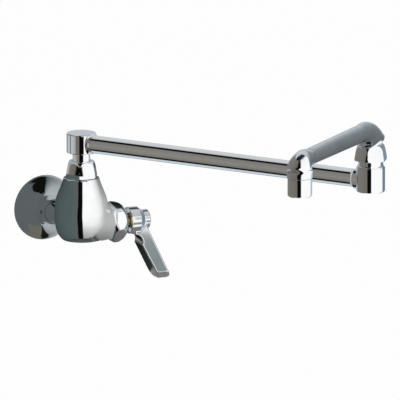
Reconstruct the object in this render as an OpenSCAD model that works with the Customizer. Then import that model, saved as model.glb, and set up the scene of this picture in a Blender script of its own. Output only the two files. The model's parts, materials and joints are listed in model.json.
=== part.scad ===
// Wall-mounted pot filler: one lever valve with a double-jointed swing spout.
// Millimetres, +Z up. The wall is the plane Y = 0 and the faucet reaches out along -Y.
// The origin is on the inlet's axis at the wall.

/* [Reach] */
// First swivel to second swivel
first_reach = 338; // [250:1:450]
// Second swivel to the outlet
second_reach = 119; // [100:1:200]
// Wall to the upright axis of the valve body
wall_to_body = 92; // [86:1:130]
// First post's length in view, between its nut and the elbow cap
first_post_show = 8.1; // [2:0.1:80]
// Second post's length in view, between its nut and the end spout
second_post_show = 2.7; // [2:0.1:20]

/* [Rest pose] */
// Heading of the first pipe, seen from above
first_heading = -56; // [-170:1:-10]
// Fold of the end spout against the first pipe
spout_fold = -95; // [-160:1:160]

/* [Wall flange and inlet] */
// Radius of the flange at the wall
flange_r = 33; // [30:0.5:45]
// Radius of the flange's collar
collar_r = 13; // [12.6:0.1:15]
// Wall to the end of the collar
collar_length = 25.5; // [22:0.5:32]
// Outer radius of the inlet shank, 1/2 in pipe size
shank_r = 10.65; // [10:0.05:11]
// Bore radius of the inlet shank
shank_bore_r = 7.5; // [5:0.1:8]
// Threaded end of the shank behind the wall plane
shank_tail = 18; // [12:1:30]

/* [Valve body] */
// Largest radius of the bulb
belly_r = 27; // [25:0.5:32]
// Top face of the bulb above the inlet axis
body_top = 49; // [46:0.5:56]
// Underside of the bulb below the inlet axis
body_drop = 14.6; // [14:0.1:20]
// Radius of the bulb's flat underside
base_r = 19.3; // [16:0.1:21]
// Radius of the bulb's top shoulder
shoulder_r = 18; // [17:0.5:20]
// Radius of the valve boss on the side
boss_r = 17; // [16:0.5:19]
// Length of the valve boss beyond the bulb
boss_show = 2.5; // [1.5:0.5:8]
// Fillet where the valve boss leaves the bulb's side
boss_flare = 9; // [5:0.5:12]

/* [Valve] */
// Hexagon of the bonnet nut, across flats
bonnet_flats = 36.6; // [34:0.2:40]
// Bore radius of the valve chamber
chamber_r = 10; // [9:0.1:11]
// Radius of the cartridge's brass neck
neck_r = 7.4; // [7:0.1:8]
// Radius of the valve stem
stem_r = 5; // [4.5:0.1:5.5]
// Plunger travel over a quarter turn
plunger_lift = 2.4; // [1:0.1:3]

/* [Lever] */
// Radius of the hub's skirt
hub_skirt_r = 13.5; // [12:0.5:16]
// Radius of the hub's front boss
hub_boss_r = 9.8; // [9.4:0.1:11]
// Valve axis down to the tip of the lever
lever_drop = 61.5; // [45:0.5:100]
// Width of the lever at the hub
lever_root_w = 18.6; // [14:0.2:19]
// Width of the lever near its tip
lever_tip_w = 24; // [18:0.5:32]
// Lean of the lever away from the body, in degrees
lever_lean = 22.5; // [15:0.5:30]

/* [Swivels] */
// Hexagon of the spout nuts, across flats at the foot
spout_nut_flats = 30.4; // [29:0.2:34]
// Height of a spout nut
spout_nut_h = 17.2; // [16:0.2:20]
// Radius of the threaded nipples under the spout nuts
nipple_r = 12.6; // [12:0.1:13]
// Radius of a swivel post where it shows
post_r = 8.8; // [8.4:0.1:9.4]
// Radius of a swivel post inside its socket
journal_r = 7.9; // [7.5:0.1:8.2]
// Wall of a swivel post inside its socket
post_wall = 2.9; // [2.5:0.1:3.4]
// Radius of the elbow cap
cap_r = 15; // [14:0.5:18]
// Radius of the second joint's housing
joint_r = 14.4; // [14:0.2:17]

/* [Pipe and end spout] */
// Outer radius of the first pipe
pipe_r = 9; // [8:0.1:9.2]
// Wall of the first pipe
pipe_wall = 1.4; // [1:0.1:2]
// Half height of the end spout's arm at the joint
arm_root_r = 10.4; // [9:0.1:12]
// Half height of the arm at the nozzle
arm_end_r = 7.2; // [6.8:0.1:8.5]
// Radius of the end spout's foot
foot_r = 14.4; // [13.5:0.1:16]
// Radius of the nozzle's bulb
nozzle_r = 12.9; // [12.6:0.1:14]
// Radius of the outlet sleeve
sleeve_r = 12.2; // [12:0.1:13]
// Length of the outlet sleeve
sleeve_length = 18.7; // [16:0.1:26]

/* [Fits] */
// Radial clearance of turning and sliding fits
running = 0.05; // [0.03:0.01:0.08]
// Radial clearance of threaded, soldered and pressed-in joints
seated = 0.03; // [0.02:0.01:0.05]
// Clearance between faces that move past each other
apart = 0.3; // [0.25:0.05:0.5]

/* [Hidden] */

// Sides of a full turn on large and on small pieces, and how far a cut runs past the face it opens.
fine = 96;
small = 48;
over = 1;

chrome = "#c9ced2";
brass = "#c3a25a";
rubber = "#202224";
acetal = "#eeeeea";
steel = "#a9adb0";
fibre = "#7d4a3a";

// Flange and inlet: depths count from the wall, or from the body's axis in the body.
rim_w = 4.6;
rim_h = 2.6;
flare_r = flange_r - collar_r - rim_w;
flare_centre = [collar_r + flare_r, rim_h + flare_r];
flange_wall = 1.7;
shank_gap = 0.2;
set_screw_depth = collar_length - 4;
set_screw_r = 2.5;
set_screw_hex_r = 1.45;
thread_relief = 0.25;
shank_thread_r = shank_r - thread_relief;
socket_floor = 20;
inlet_boss_r = 14.5;
inlet_boss_reach = belly_r + 5;
base_facing = 1.6;

// Swivel heights count from the foot of the spout nut.
nipple_h = 9;
socket_depth = 15;
post_depth = 14;
clip_foot = nipple_h + apart;
clip_h = 2;
clip_r = 11;
groove_r = journal_r - 0.7;
post_bore_r = journal_r - post_wall;
bearing_foot = clip_foot + clip_h + apart;
bearing_h = 1.2;
bearing_r = 11.5;
nut_shoulder = bearing_foot + bearing_h + 0.1;
o_ring_section = 0.82;
o_ring_heights = [-4, -10];
o_ring_groove_depth = 1.7;
o_ring_groove_half = 1.05;

// Heights count from the centre line of the first pipe.
cap_boss_r = pipe_r + 0.6;
cap_foot = -cap_boss_r - 0.1;
cap_top = pipe_r + 1.4;
first_nut_foot = cap_foot - first_post_show - spout_nut_h;
pipe_height = body_top + apart - first_nut_foot;
joint_boss_r = pipe_r + 2.2;
joint_foot = -joint_boss_r - 0.2;
joint_shoulder = joint_boss_r + 1.8;
second_nut_foot = joint_shoulder + 7.5;
pipe_start = post_r + 0.6;
socket_reach = pipe_start + 6.6;
waterway_r = pipe_r - pipe_wall - 0.2;
spout_foot = second_nut_foot + spout_nut_h + second_post_show;
post_insert = 6;
post_top = cap_foot + post_insert;

// End spout: the arm's centre line falls from the joint to the nozzle.
pivot_gap = 0.8;
first_pivot = [foot_r + pivot_gap, spout_foot];
arm_root_z = spout_foot + pivot_gap + arm_root_r;
second_pivot_x = second_reach - nozzle_r - pivot_gap;
arm_end_z = spout_foot - 0.2;
second_pivot = [second_pivot_x, arm_end_z - arm_end_r - pivot_gap];
nozzle_foot = arm_end_z - 17.1;
nozzle_thread_r = 10.6;
nozzle_thread_h = 8.6;
nozzle_bore_r = 8;
sleeve_top = nozzle_foot - apart;
sleeve_foot = sleeve_top - sleeve_length;
lip_top = sleeve_foot + 1.6;
insert_r = nozzle_thread_r - 0.3;
washer_foot = nozzle_foot - nozzle_thread_h - 1.2;
arm_bore_r = 5.2;
ring_sides = 40;
bend_steps = 11;

// Places along the valve axis count from the body's upright axis.
boss_reach = belly_r + boss_show;
seat_face = -3;
seat_r = 8;
seat_bore_r = 4.5;
seat_lip = 1;
seat_ring_h = 4.8;
thread_end = boss_reach + 8.5;
bonnet_thread_r = 14.6;
gasket_t = 0.6;
cartridge_flange_r = 13.2;
cartridge_flange_t = 2.2;
bonnet_shoulder = thread_end + gasket_t + cartridge_flange_t;
bonnet_front = bonnet_shoulder + 6;
guide_foot = 8;
guide_end = 23;
plunger_bore_r = 7.9;
plunger_flat = 6.5;
plunger_slack = 0.08;
washer_t = 3;
washer_face = seat_face + seat_lip + apart;
washer_screw_r = 1.5;
collar_seat = 27;
collar_t = 2.2;
collar_foot = collar_seat - 0.6 - collar_t;
plunger_foot = washer_face + washer_t;
plunger_end = collar_foot - 0.7 - plunger_lift;
stem_collar_r = stem_r + 1.2;
stem_screw_r = stem_r - 1.1;
stem_groove_depth = 1.35;
stem_groove_half = 0.85;
stem_ring_steps = [-3, 3];
square_side = 1.4 * stem_r;
handle_screw_r = 2;
handle_screw_head_r = 3.9;
handle_screw_hex_r = 1.7;
neck_end = bonnet_front + 4.7;
hub_back = neck_end - 1;
hub_recess = 6;
hub_length = 22;
hub_front = hub_back + hub_length;
hub_step = 10.5;
web_back = hub_front - 6.5;
button_seat = hub_front - 5;
button_r = hub_boss_r - 2.6;
button_crown_r = 29.7;
lever_top = [hub_back + 4.3, 0];
lever_t = 11.4;
tip_growth = 1.2;

function arc(c, r, from, to, steps = 12) =
  [for (i = [0:steps]) let (a = from + (to - from) * i / steps) c + r * [cos(a), sin(a)]];

function bezier(a, b, c, d, steps = 14) =
  [for (i = [0:steps]) let (t = i / steps, s = 1 - t)
    a * pow(s, 3) + b * 3 * s * s * t + c * 3 * s * t * t + d * pow(t, 3)];

function blend(a, b, t) = a + (b - a) * t;

// Turns a child that stands on Z so that it stands out from the wall.
module from_wall() {
  rotate([90, 0, 0]) children();
}

// Turns a child that stands on Z so that it lies along X.
module along_x(at = 0) {
  translate([at, 0, 0]) rotate([0, 90, 0]) children();
}

module at_body() {
  translate([0, -wall_to_body, 0]) children();
}

// The first pipe lies along local X, with the first swivel's axis on local Z.
module at_first() {
  translate([0, -wall_to_body, pipe_height]) rotate(first_heading) children();
}

// The end spout lies along local X, with the second swivel's axis on local Z.
module at_second() {
  at_first() translate([first_reach, 0, 0]) rotate(spout_fold) children();
}

module disc(r, foot, top, sides = fine) {
  translate([0, 0, foot]) cylinder(r = r, h = top - foot, $fn = sides);
}

module ring(outer, inner, foot, top, sides = fine) {
  difference() {
    disc(outer, foot, top, sides);
    disc(inner, foot - over, top + over, sides);
  }
}

module torus(r, section, z) {
  translate([0, 0, z]) rotate_extrude($fn = fine) translate([r, 0]) circle(section, $fn = 24);
}

// ---- wall flange and inlet ----

module wall_flange() {
  rim = [[flange_r - 0.9, 2.2], [flange_r - 0.3, 1.9], [flange_r, 1.2], [flange_r, 0]];
  under = [[flange_r - 1.8, 0]];
  color(chrome) difference() {
    from_wall() rotate_extrude($fn = fine) polygon(concat(
      [[shank_r + shank_gap, collar_length], [collar_r - 0.6, collar_length], [collar_r, collar_length - 0.6]],
      arc(flare_centre, flare_r, 180, 270, 20),
      rim,
      under,
      arc(flare_centre, flare_r + flange_wall, 268, 188, 20),
      [[shank_r + shank_gap, flare_centre[1]]]));
    set_screw_place() disc(set_screw_r + seated, shank_r - over, collar_r + over, small);
  }
}

module set_screw_place() {
  translate([0, -set_screw_depth, 0]) rotate([0, -90, 0]) children();
}

module flange_set_screw() {
  color(steel) set_screw_place() difference() {
    disc(set_screw_r, shank_r + 0.1, collar_r - 0.1, small);
    disc(set_screw_hex_r, shank_r + 0.8, collar_r + over, 6);
  }
}

module inlet_shank() {
  shank_end = wall_to_body - socket_floor - 0.2;
  color(chrome) from_wall() rotate_extrude($fn = fine) polygon([
    [shank_bore_r, -shank_tail - 1],
    [shank_thread_r - 1, -shank_tail - 1],
    [shank_thread_r, -shank_tail],
    [shank_thread_r, 0],
    [shank_r, thread_relief],
    [shank_r, shank_end - 1],
    [shank_r - 0.8, shank_end],
    [shank_bore_r, shank_end]]);
}

// ---- valve body ----

module bulb_outline() {
  knee = [belly_r - 1.8, 28.5];
  polygon(concat(
    [[0, -body_drop]],
    bezier([base_r, -body_drop], [blend(base_r, belly_r, 0.7), 5 - body_drop], [belly_r, -1], [belly_r, 9]),
    bezier([belly_r, 9], [belly_r, 19], [belly_r - 0.4, 25], knee),
    [[shoulder_r, body_top - 1.6], [shoulder_r - 0.4, body_top - 0.6], [shoulder_r - 1.2, body_top]],
    [[0, body_top]]));
}

// The boss's flare is a fillet that touches both the boss and the bulb at the inlet's height.
module valve_boss() {
  flare_centre_r = boss_r + boss_flare;
  flare_centre_x = sqrt(pow(belly_r + boss_flare, 2) - pow(flare_centre_r, 2));
  meets_bulb = 180 + atan2(flare_centre_x, flare_centre_r);
  flare = arc([flare_centre_r, flare_centre_x], boss_flare, meets_bulb, 180, 10);
  along_x() rotate_extrude($fn = fine) polygon(concat(
    [[0, 0], [flare[0][0], 0]],
    flare,
    [[boss_r, boss_reach - 0.5], [boss_r - 0.5, boss_reach]],
    [[bonnet_thread_r, boss_reach], [bonnet_thread_r, thread_end - 0.8], [bonnet_thread_r - 0.8, thread_end]],
    [[0, thread_end]]));
}

module swivel_socket_cut(foot) {
  disc(journal_r + running, foot - socket_depth, foot + nipple_h + over);
}

module nipple(foot) {
  translate([0, 0, foot]) rotate_extrude($fn = fine) polygon([
    [0, -over],
    [nipple_r, -over],
    [nipple_r, nipple_h - 0.8],
    [nipple_r - 0.8, nipple_h],
    [0, nipple_h]]);
}

// The underside is faced flat after casting, which trims the flare of the valve boss.
module valve_body() {
  cavity_r = 6.5;
  cavity_end = -18;
  port_r = 5.5;
  feed_r = 4.6;
  feed_x = -13;
  feed_turn = -32;
  color(chrome) at_body() difference() {
    union() {
      rotate_extrude($fn = fine) bulb_outline();
      valve_boss();
      translate([0, inlet_boss_reach, 0]) from_wall() disc(inlet_boss_r, 0, inlet_boss_reach);
      nipple(body_top + apart);
    }
    disc(base_r + base_facing, -2 * boss_r, -body_drop);
    swivel_socket_cut(body_top + apart);
    disc(port_r, 0, body_top - socket_depth + over, small);
    along_x() disc(chamber_r, seat_face, thread_end + over);
    along_x() disc(seat_r + seated, seat_face - seat_ring_h - shank_gap, seat_face + over);
    along_x() disc(cavity_r, cavity_end, seat_face, small);
    translate([0, inlet_boss_reach + over, 0]) from_wall()
      disc(shank_r + seated, 0, inlet_boss_reach + over - socket_floor);
    translate([feed_x, 0, 0]) rotate([-90, 0, feed_turn]) disc(feed_r, 0, socket_floor + 5, small);
  }
}

module seat_ring() {
  color(brass) at_body() along_x() rotate_extrude($fn = small) polygon([
    [seat_bore_r, seat_face - seat_ring_h],
    [seat_r, seat_face - seat_ring_h],
    [seat_r, seat_face],
    [seat_bore_r + 1.6, seat_face],
    [seat_bore_r + 1.2, seat_face + seat_lip],
    [seat_bore_r, seat_face + seat_lip]]);
}

// ---- valve cartridge ----

module cartridge_sleeve() {
  flange_foot = thread_end + gasket_t;
  flange_top = flange_foot + cartridge_flange_t;
  neck_step = 0.5;
  color(brass) at_body() along_x() difference() {
    union() {
      disc(chamber_r - running, guide_foot, flange_foot + over);
      disc(cartridge_flange_r, flange_foot, flange_top);
      disc(neck_r, flange_top - over, neck_end - neck_step);
      disc(neck_r - neck_step, neck_end - over, neck_end);
    }
    intersection() {
      disc(plunger_bore_r, guide_foot - over, guide_end);
      translate([-plunger_flat, -chamber_r, guide_foot - over])
        cube([2 * plunger_flat, 2 * chamber_r, guide_end]);
    }
    disc(plunger_bore_r, guide_end - 0.5, collar_seat, small);
    disc(stem_r + running, collar_seat - over, neck_end + over);
  }
}

module cartridge_gasket() {
  color(fibre) at_body() along_x()
    ring(cartridge_flange_r, chamber_r + 0.3, thread_end + 0.02, thread_end + gasket_t - 0.02);
}

module valve_plunger() {
  bore_foot = 9;
  color(brass) at_body() along_x() difference() {
    union() {
      intersection() {
        disc(plunger_bore_r - plunger_slack, plunger_foot + washer_t, plunger_end);
        translate([plunger_slack - plunger_flat, -chamber_r, 0])
          cube([2 * (plunger_flat - plunger_slack), 2 * chamber_r, plunger_end + over]);
      }
      disc(plunger_flat - plunger_slack, plunger_foot, plunger_foot + washer_t + over);
    }
    disc(stem_screw_r + plunger_slack, bore_foot, plunger_end + over);
    disc(washer_screw_r + seated, plunger_foot - over, bore_foot - 1.4, small);
  }
}

module seat_washer() {
  color(rubber) at_body() along_x()
    ring(plunger_flat - 0.2, washer_screw_r + 0.1, washer_face, plunger_foot - 0.02, small);
}

module seat_washer_screw() {
  head_r = 3.2;
  head_t = 1.6;
  slot_w = 0.8;
  slot_depth = 0.7;
  color(brass) at_body() along_x() difference() {
    union() {
      disc(head_r, washer_face - head_t, washer_face - 0.02, small);
      disc(washer_screw_r, washer_face - 0.5, plunger_foot + 4, small);
    }
    translate([-slot_w / 2, -head_r - over, washer_face - head_t - over])
      cube([slot_w, 2 * (head_r + over), slot_depth + over]);
  }
}

module valve_stem() {
  screw_tip = 12.4;
  square_from = neck_end + 0.6;
  square_to = web_back - 0.4;
  color(brass) at_body() along_x() difference() {
    union() {
      disc(stem_screw_r, screw_tip, collar_seat);
      disc(stem_collar_r, collar_foot, collar_foot + collar_t);
      disc(stem_r, collar_seat - 2, square_from);
      translate([-square_side / 2, -square_side / 2, square_from - over])
        cube([square_side, square_side, square_to - square_from + over]);
    }
    for (step = stem_ring_steps)
      translate([0, 0, bonnet_shoulder + step])
        ring(stem_r + over, stem_r - stem_groove_depth, -stem_groove_half, stem_groove_half);
    disc(handle_screw_r + seated, square_from + 2, square_to + over, small);
  }
}

module stem_o_rings() {
  color(rubber) at_body() along_x() for (step = stem_ring_steps)
    torus(stem_r - 0.68, 0.66, bonnet_shoulder + step);
}

module stem_thrust_washer() {
  color(acetal) at_body() along_x()
    ring(stem_collar_r, stem_r + 0.1, collar_seat - 0.55, collar_seat - 0.05);
}

// Hexagon nut with a chamfered back and a domed front.
module bonnet_nut() {
  corner_r = bonnet_flats / 2 / cos(30);
  back = boss_reach + 0.2;
  phase = -19;
  color(chrome) at_body() along_x() difference() {
    intersection() {
      rotate_extrude($fn = fine) polygon(concat(
        [[0, back], [boss_r + 0.9, back]],
        [[corner_r - 0.2, back + 3.2]],
        arc([corner_r - 13.4, back + 4.2], 13.4, 0, 62, 10),
        [[neck_r + 2.6, bonnet_front - 0.6], [neck_r + 2, bonnet_front], [0, bonnet_front]]));
      rotate(phase) disc(corner_r, back - over, bonnet_front + over, 6);
    }
    disc(bonnet_thread_r + seated, back - over, thread_end + apart);
    disc(cartridge_flange_r + seated, back - over, bonnet_shoulder);
    disc(neck_r + apart, back - over, bonnet_front + over);
  }
}

// ---- lever ----

// Side view of the lever in X and Z.
module lever_side() {
  lean = tan(lever_lean);
  skirt_bottom = -hub_skirt_r;
  inner_tip = [lever_top[0] + lever_drop * lean, -lever_drop];
  outer_tip = inner_tip + [lever_t + tip_growth, 0];
  inner_at_skirt = lever_top[0] - skirt_bottom * lean;
  fillet_r = 8;
  fillet_centre = [inner_at_skirt - fillet_r * tan(45 - lever_lean / 2), skirt_bottom - fillet_r];
  polygon(concat(
    [lever_top, lever_top + [lever_t - 0.5, 0]],
    arc(outer_tip + [-3.6, 3.6], 3.4, 20, -90, 6),
    arc(inner_tip + [2.4, 1.8], 1.8, 270, 210, 4),
    arc(fillet_centre, fillet_r, -lever_lean, 90, 10),
    [[fillet_centre[0], skirt_bottom + 1.5]]));
}

// Front view of the lever in Y and Z.
module lever_front() {
  corner = 8.5;
  half_root = lever_root_w / 2;
  half_tip = lever_tip_w / 2;
  polygon(concat(
    [[-half_root, 1], [half_root, 1]],
    arc([half_tip - corner, corner - lever_drop], corner, 0, -90, 10),
    arc([corner - half_tip, corner - lever_drop], corner, -90, -180, 10)));
}

module lever_hub() {
  step_end = hub_back + hub_step + 6;
  along_x() rotate_extrude($fn = fine) polygon(concat(
    [[0, hub_back], [hub_skirt_r - 0.7, hub_back], [hub_skirt_r, hub_back + 0.7]],
    [[hub_skirt_r, hub_back + hub_step - 0.6], [hub_skirt_r - 0.4, hub_back + hub_step]],
    arc([hub_boss_r + 4.6, step_end], 4.6, 230, 180, 8),
    arc([hub_boss_r - 1.2, hub_front - 1.2], 1.2, 0, 90, 5),
    [[0, hub_front]]));
}

module lever_handle() {
  color(chrome) at_body() difference() {
    union() {
      lever_hub();
      intersection() {
        rotate([90, 0, 0]) linear_extrude(2 * lever_tip_w, center = true) lever_side();
        rotate([90, 0, 90]) linear_extrude(hub_front + lever_drop) lever_front();
      }
    }
    along_x() disc(neck_r + 1.6, hub_back - over, hub_back + hub_recess);
    along_x() translate([-square_side / 2 - running, -square_side / 2 - running, hub_back + over])
      cube([square_side + 2 * running, square_side + 2 * running, web_back - hub_back - over]);
    along_x() disc(handle_screw_r + apart, web_back - over, hub_front, small);
    along_x() disc(button_r, button_seat, hub_front + over);
  }
}

module handle_screw() {
  head_t = 2.2;
  color(steel) at_body() along_x() difference() {
    union() {
      disc(handle_screw_r, web_back - 7, button_seat + over, small);
      disc(handle_screw_head_r, button_seat + 0.02, button_seat + head_t, small);
    }
    disc(handle_screw_hex_r, button_seat + 1, button_seat + head_t + over, 6);
  }
}

module index_button() {
  seat = button_seat + 2.5;
  r = button_r - 0.1;
  color(chrome) at_body() along_x() rotate_extrude($fn = fine) polygon(concat(
    [[0, seat], [r, seat]],
    [[r, hub_front - 0.4]],
    arc([0, hub_front + 0.7 - button_crown_r], button_crown_r, 90 - 13, 90, 6)));
}

// ---- swivel parts, shared by both joints ----

// Hexagon with tapered flats and a rounded top, standing on Z.
module spout_nut(foot) {
  corner_r = spout_nut_flats / 2 / cos(30);
  taper = 9;
  translate([0, 0, foot]) difference() {
    rotate_extrude($fn = fine) polygon([
      [0, 0],
      [corner_r - 1.2, 0],
      [corner_r, 1.2],
      [corner_r - 0.5, 6],
      [corner_r - 1.7, 10.5],
      [corner_r - 3.4, spout_nut_h - 2.8],
      [corner_r - 5, spout_nut_h - 1],
      [corner_r - 6.4, spout_nut_h],
      [0, spout_nut_h]]);
    for (side = [0:5])
      rotate(60 * side + 30) translate([spout_nut_flats / 2, 0, 0]) rotate([0, -taper, 0])
        translate([0, -corner_r, -corner_r]) cube([corner_r, 2 * corner_r, 3 * corner_r]);
    disc(nipple_r + seated, -over, nipple_h + 0.6);
    disc(bearing_r + seated, -over, nut_shoulder);
    disc(post_r + apart, -over, spout_nut_h + over);
  }
}

module swivel_bearing(foot) {
  ring(bearing_r, post_r + apart, foot + bearing_foot, foot + bearing_foot + bearing_h);
}

// The post hangs from its casting, through the nut, into the socket below.
module swivel_post(foot, top) {
  difference() {
    union() {
      disc(journal_r, foot - post_depth, foot + clip_foot);
      disc(groove_r, foot, foot + clip_foot + clip_h + 0.1);
      disc(post_r, foot + clip_foot + clip_h, top);
    }
    disc(post_bore_r, foot - post_depth - over, top + over);
    for (height = o_ring_heights) translate([0, 0, foot + height])
      ring(journal_r + over, journal_r - o_ring_groove_depth, -o_ring_groove_half, o_ring_groove_half);
  }
}

module post_o_rings(foot) {
  for (height = o_ring_heights) torus(journal_r + 0.02 - o_ring_section, o_ring_section, foot + height);
}

// Split ring that sits in the post's groove.
module post_clip(foot) {
  gap = 3;
  difference() {
    ring(clip_r, groove_r + seated, foot + clip_foot + 0.02, foot + clip_foot + clip_h - 0.02);
    translate([groove_r - over, -gap / 2, foot + clip_foot - over])
      cube([clip_r, gap, clip_h + 2 * over]);
  }
}

module body_spout_nut() {
  phase = -0.5;
  color(chrome) at_body() rotate(phase) spout_nut(body_top + apart);
}

module body_swivel_bearing() {
  color(acetal) at_body() swivel_bearing(body_top + apart);
}

// ---- first arm ----

module elbow_cap() {
  color(chrome) at_first() difference() {
    union() {
      rotate_extrude($fn = fine) polygon(concat(
        [[0, cap_foot]],
        arc([cap_r - 1, cap_foot + 1], 1, -90, 0, 5),
        arc([cap_r - 1.4, cap_top - 1.4], 1.4, 0, 90, 6),
        [[0, cap_top]]));
      along_x() disc(cap_boss_r, 0, socket_reach);
    }
    disc(post_r + seated, cap_foot - over, post_top + 0.1);
    disc(post_bore_r + 1, 0, cap_foot + 15, small);
    disc(post_bore_r, cap_foot, 1, small);
    along_x() disc(waterway_r, 0, pipe_start);
    along_x() disc(pipe_r + seated, pipe_start - 0.1, socket_reach + over);
  }
}

module elbow_post() {
  color(chrome) at_first() swivel_post(first_nut_foot, post_top);
}

module elbow_post_o_rings() {
  color(rubber) at_first() post_o_rings(first_nut_foot);
}

module elbow_post_clip() {
  color(steel) at_first() post_clip(first_nut_foot);
}

module first_pipe() {
  color(chrome) at_first() along_x()
    ring(pipe_r, pipe_r - pipe_wall, pipe_start, first_reach - pipe_start);
}

module joint_housing() {
  neck_foot = second_nut_foot - 4;
  color(chrome) at_first() translate([first_reach, 0, 0]) difference() {
    union() {
      rotate_extrude($fn = fine) polygon(concat(
        [[0, joint_foot]],
        arc([joint_r - 1.5, joint_foot + 1.5], 1.5, -90, 0, 6),
        [[joint_r, joint_shoulder], [joint_r - 0.3, joint_shoulder + 0.5]],
        arc([nipple_r + 2.2, neck_foot], 2.2, 240, 180, 5),
        [[nipple_r, second_nut_foot + nipple_h - 0.8]],
        [[nipple_r - 0.8, second_nut_foot + nipple_h], [0, second_nut_foot + nipple_h]]));
      along_x() disc(joint_boss_r, -socket_reach, 0);
    }
    swivel_socket_cut(second_nut_foot);
    disc(pipe_r - pipe_wall, joint_foot + 4, second_nut_foot - socket_depth + over, small);
    along_x() disc(waterway_r, -pipe_start, 0);
    along_x() disc(pipe_r + seated, -socket_reach - over, 0.1 - pipe_start);
  }
}

module joint_spout_nut() {
  phase = 50.5;
  color(chrome) at_first() translate([first_reach, 0, 0]) rotate(phase) spout_nut(second_nut_foot);
}

module joint_swivel_bearing() {
  color(acetal) at_first() translate([first_reach, 0, 0]) swivel_bearing(second_nut_foot);
}

// ---- end spout ----

// Oval section whose plane turns about a line square to the spout. tilt is the
// direction of the oval's long axis, near and far are its ends from that line.
function oval(pivot, tilt, near, far, half_width) =
  let (mid = (near + far) / 2, half = (far - near) / 2)
  [for (i = [0:ring_sides - 1]) let (a = 360 * i / ring_sides, reach = mid + half * cos(a))
    [pivot[0] + reach * cos(tilt), half_width * sin(a), pivot[1] + reach * sin(tilt)]];

function foot_bend(u) =
  oval(first_pivot, 180 - 90 * u, pivot_gap,
    blend(pivot_gap + 2 * foot_r, pivot_gap + 2 * arm_root_r, pow(u, 1.86)),
    blend(foot_r, arm_root_r, pow(u, 1.7)));

function arm_section(u) =
  let (z = blend(arm_root_z, arm_end_z, u), r = blend(arm_root_r, arm_end_r, u))
  oval([blend(first_pivot[0], second_pivot[0], u), 0], 90, z - r, z + r, r);

function nozzle_bend(v) =
  oval(second_pivot, 90 - 90 * v, pivot_gap,
    blend(pivot_gap + 2 * arm_end_r, pivot_gap + 2 * nozzle_r, pow(v, 1.3)),
    blend(arm_end_r, nozzle_r, pow(v, 1.2)));

function dropped(section, z) = [for (p = section) [p[0], p[1], z]];

// Closed skin over a row of sections with equal numbers of points.
module skin(sections) {
  n = len(sections[0]);
  last = len(sections) - 1;
  points = [for (section = sections) for (p = section) p];
  sides = [for (row = [0:last - 1]) for (i = [0:n - 1])
    let (j = (i + 1) % n, a = row * n, b = a + n)
    each [[a + i, b + j, b + i], [a + i, a + j, b + j]]];
  foot = [[for (i = [n - 1:-1:0]) i]];
  head = [[for (i = [0:n - 1]) last * n + i]];
  polyhedron(points = points, faces = concat(foot, sides, head), convexity = 4);
}

spout_sections = concat(
  [for (i = [0:bend_steps - 1]) foot_bend(i / bend_steps)],
  [for (i = [0:4]) arm_section(i / 4)],
  [for (i = [1:bend_steps]) nozzle_bend(i / bend_steps)],
  [dropped(nozzle_bend(1), nozzle_foot)]);

module end_spout() {
  bore_from = [0, spout_foot + 11];
  bore_to = [second_reach, arm_end_z - 2];
  bore_run = bore_to - bore_from;
  bore_angle = atan2(bore_run[1], bore_run[0]);
  thread_foot = nozzle_foot - nozzle_thread_h;
  color(chrome) at_second() difference() {
    union() {
      skin(spout_sections);
      translate([second_reach, 0, 0]) disc(nozzle_thread_r, thread_foot, nozzle_foot + over);
    }
    disc(post_r + seated, spout_foot - over, spout_foot + post_insert + 0.1);
    disc(post_bore_r, spout_foot, bore_from[1] + 2, small);
    translate([bore_from[0], 0, bore_from[1]]) rotate([0, -bore_angle, 0])
      along_x() disc(arm_bore_r, 0, norm(bore_run), small);
    translate([second_reach, 0, 0]) disc(nozzle_bore_r, thread_foot - over, bore_to[1]);
  }
}

module spout_post() {
  color(chrome) at_second() swivel_post(second_nut_foot, spout_foot + post_insert);
}

module spout_post_o_rings() {
  color(rubber) at_second() post_o_rings(second_nut_foot);
}

module spout_post_clip() {
  color(steel) at_second() post_clip(second_nut_foot);
}

// ---- outlet ----

module at_outlet() {
  at_second() translate([second_reach, 0, 0]) children();
}

module outlet_sleeve() {
  color(chrome) at_outlet() difference() {
    rotate_extrude($fn = fine) polygon(concat(
      [[0, sleeve_foot]],
      arc([sleeve_r - 2, sleeve_foot + 2], 2, -90, 0, 7),
      [[sleeve_r, sleeve_top - 0.5], [sleeve_r - 0.5, sleeve_top], [0, sleeve_top]]));
    disc(nozzle_thread_r + seated, lip_top, nozzle_foot + over);
    disc(insert_r - 1.4, sleeve_foot - over, lip_top + over);
  }
}

module outlet_washer() {
  color(rubber) at_outlet() ring(insert_r, nozzle_bore_r, washer_foot, washer_foot + 1.1);
}

// A round hole with rings of holes about it.
module hole_grid(pitch, rows, r, foot, top) {
  disc(r, foot, top, 16);
  for (row = [1:rows]) for (i = [0:6 * row - 1])
    rotate(i * 60 / row) translate([row * pitch, 0, 0]) disc(r, foot, top, 16);
}

module outlet_screen() {
  foot = washer_foot - 0.6;
  color(steel) at_outlet() difference() {
    disc(insert_r, foot, foot + 0.5, small);
    hole_grid(2.3, 3, 0.85, foot - over, foot + over);
  }
}

module flow_straightener() {
  top = washer_foot - 0.7;
  color(acetal) at_outlet() difference() {
    disc(insert_r, lip_top + 0.1, top, small);
    hole_grid(3.3, 2, 1.4, lip_top - over, top + over);
  }
}

wall_flange();
flange_set_screw();
inlet_shank();
valve_body();
seat_ring();
cartridge_sleeve();
cartridge_gasket();
bonnet_nut();
body_spout_nut();
body_swivel_bearing();
valve_stem();
stem_o_rings();
stem_thrust_washer();
lever_handle();
handle_screw();
index_button();
valve_plunger();
seat_washer();
seat_washer_screw();
elbow_cap();
elbow_post();
elbow_post_o_rings();
elbow_post_clip();
first_pipe();
joint_housing();
joint_spout_nut();
joint_swivel_bearing();
end_spout();
spout_post();
spout_post_o_rings();
spout_post_clip();
outlet_sleeve();
outlet_washer();
outlet_screen();
flow_straightener();
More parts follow.
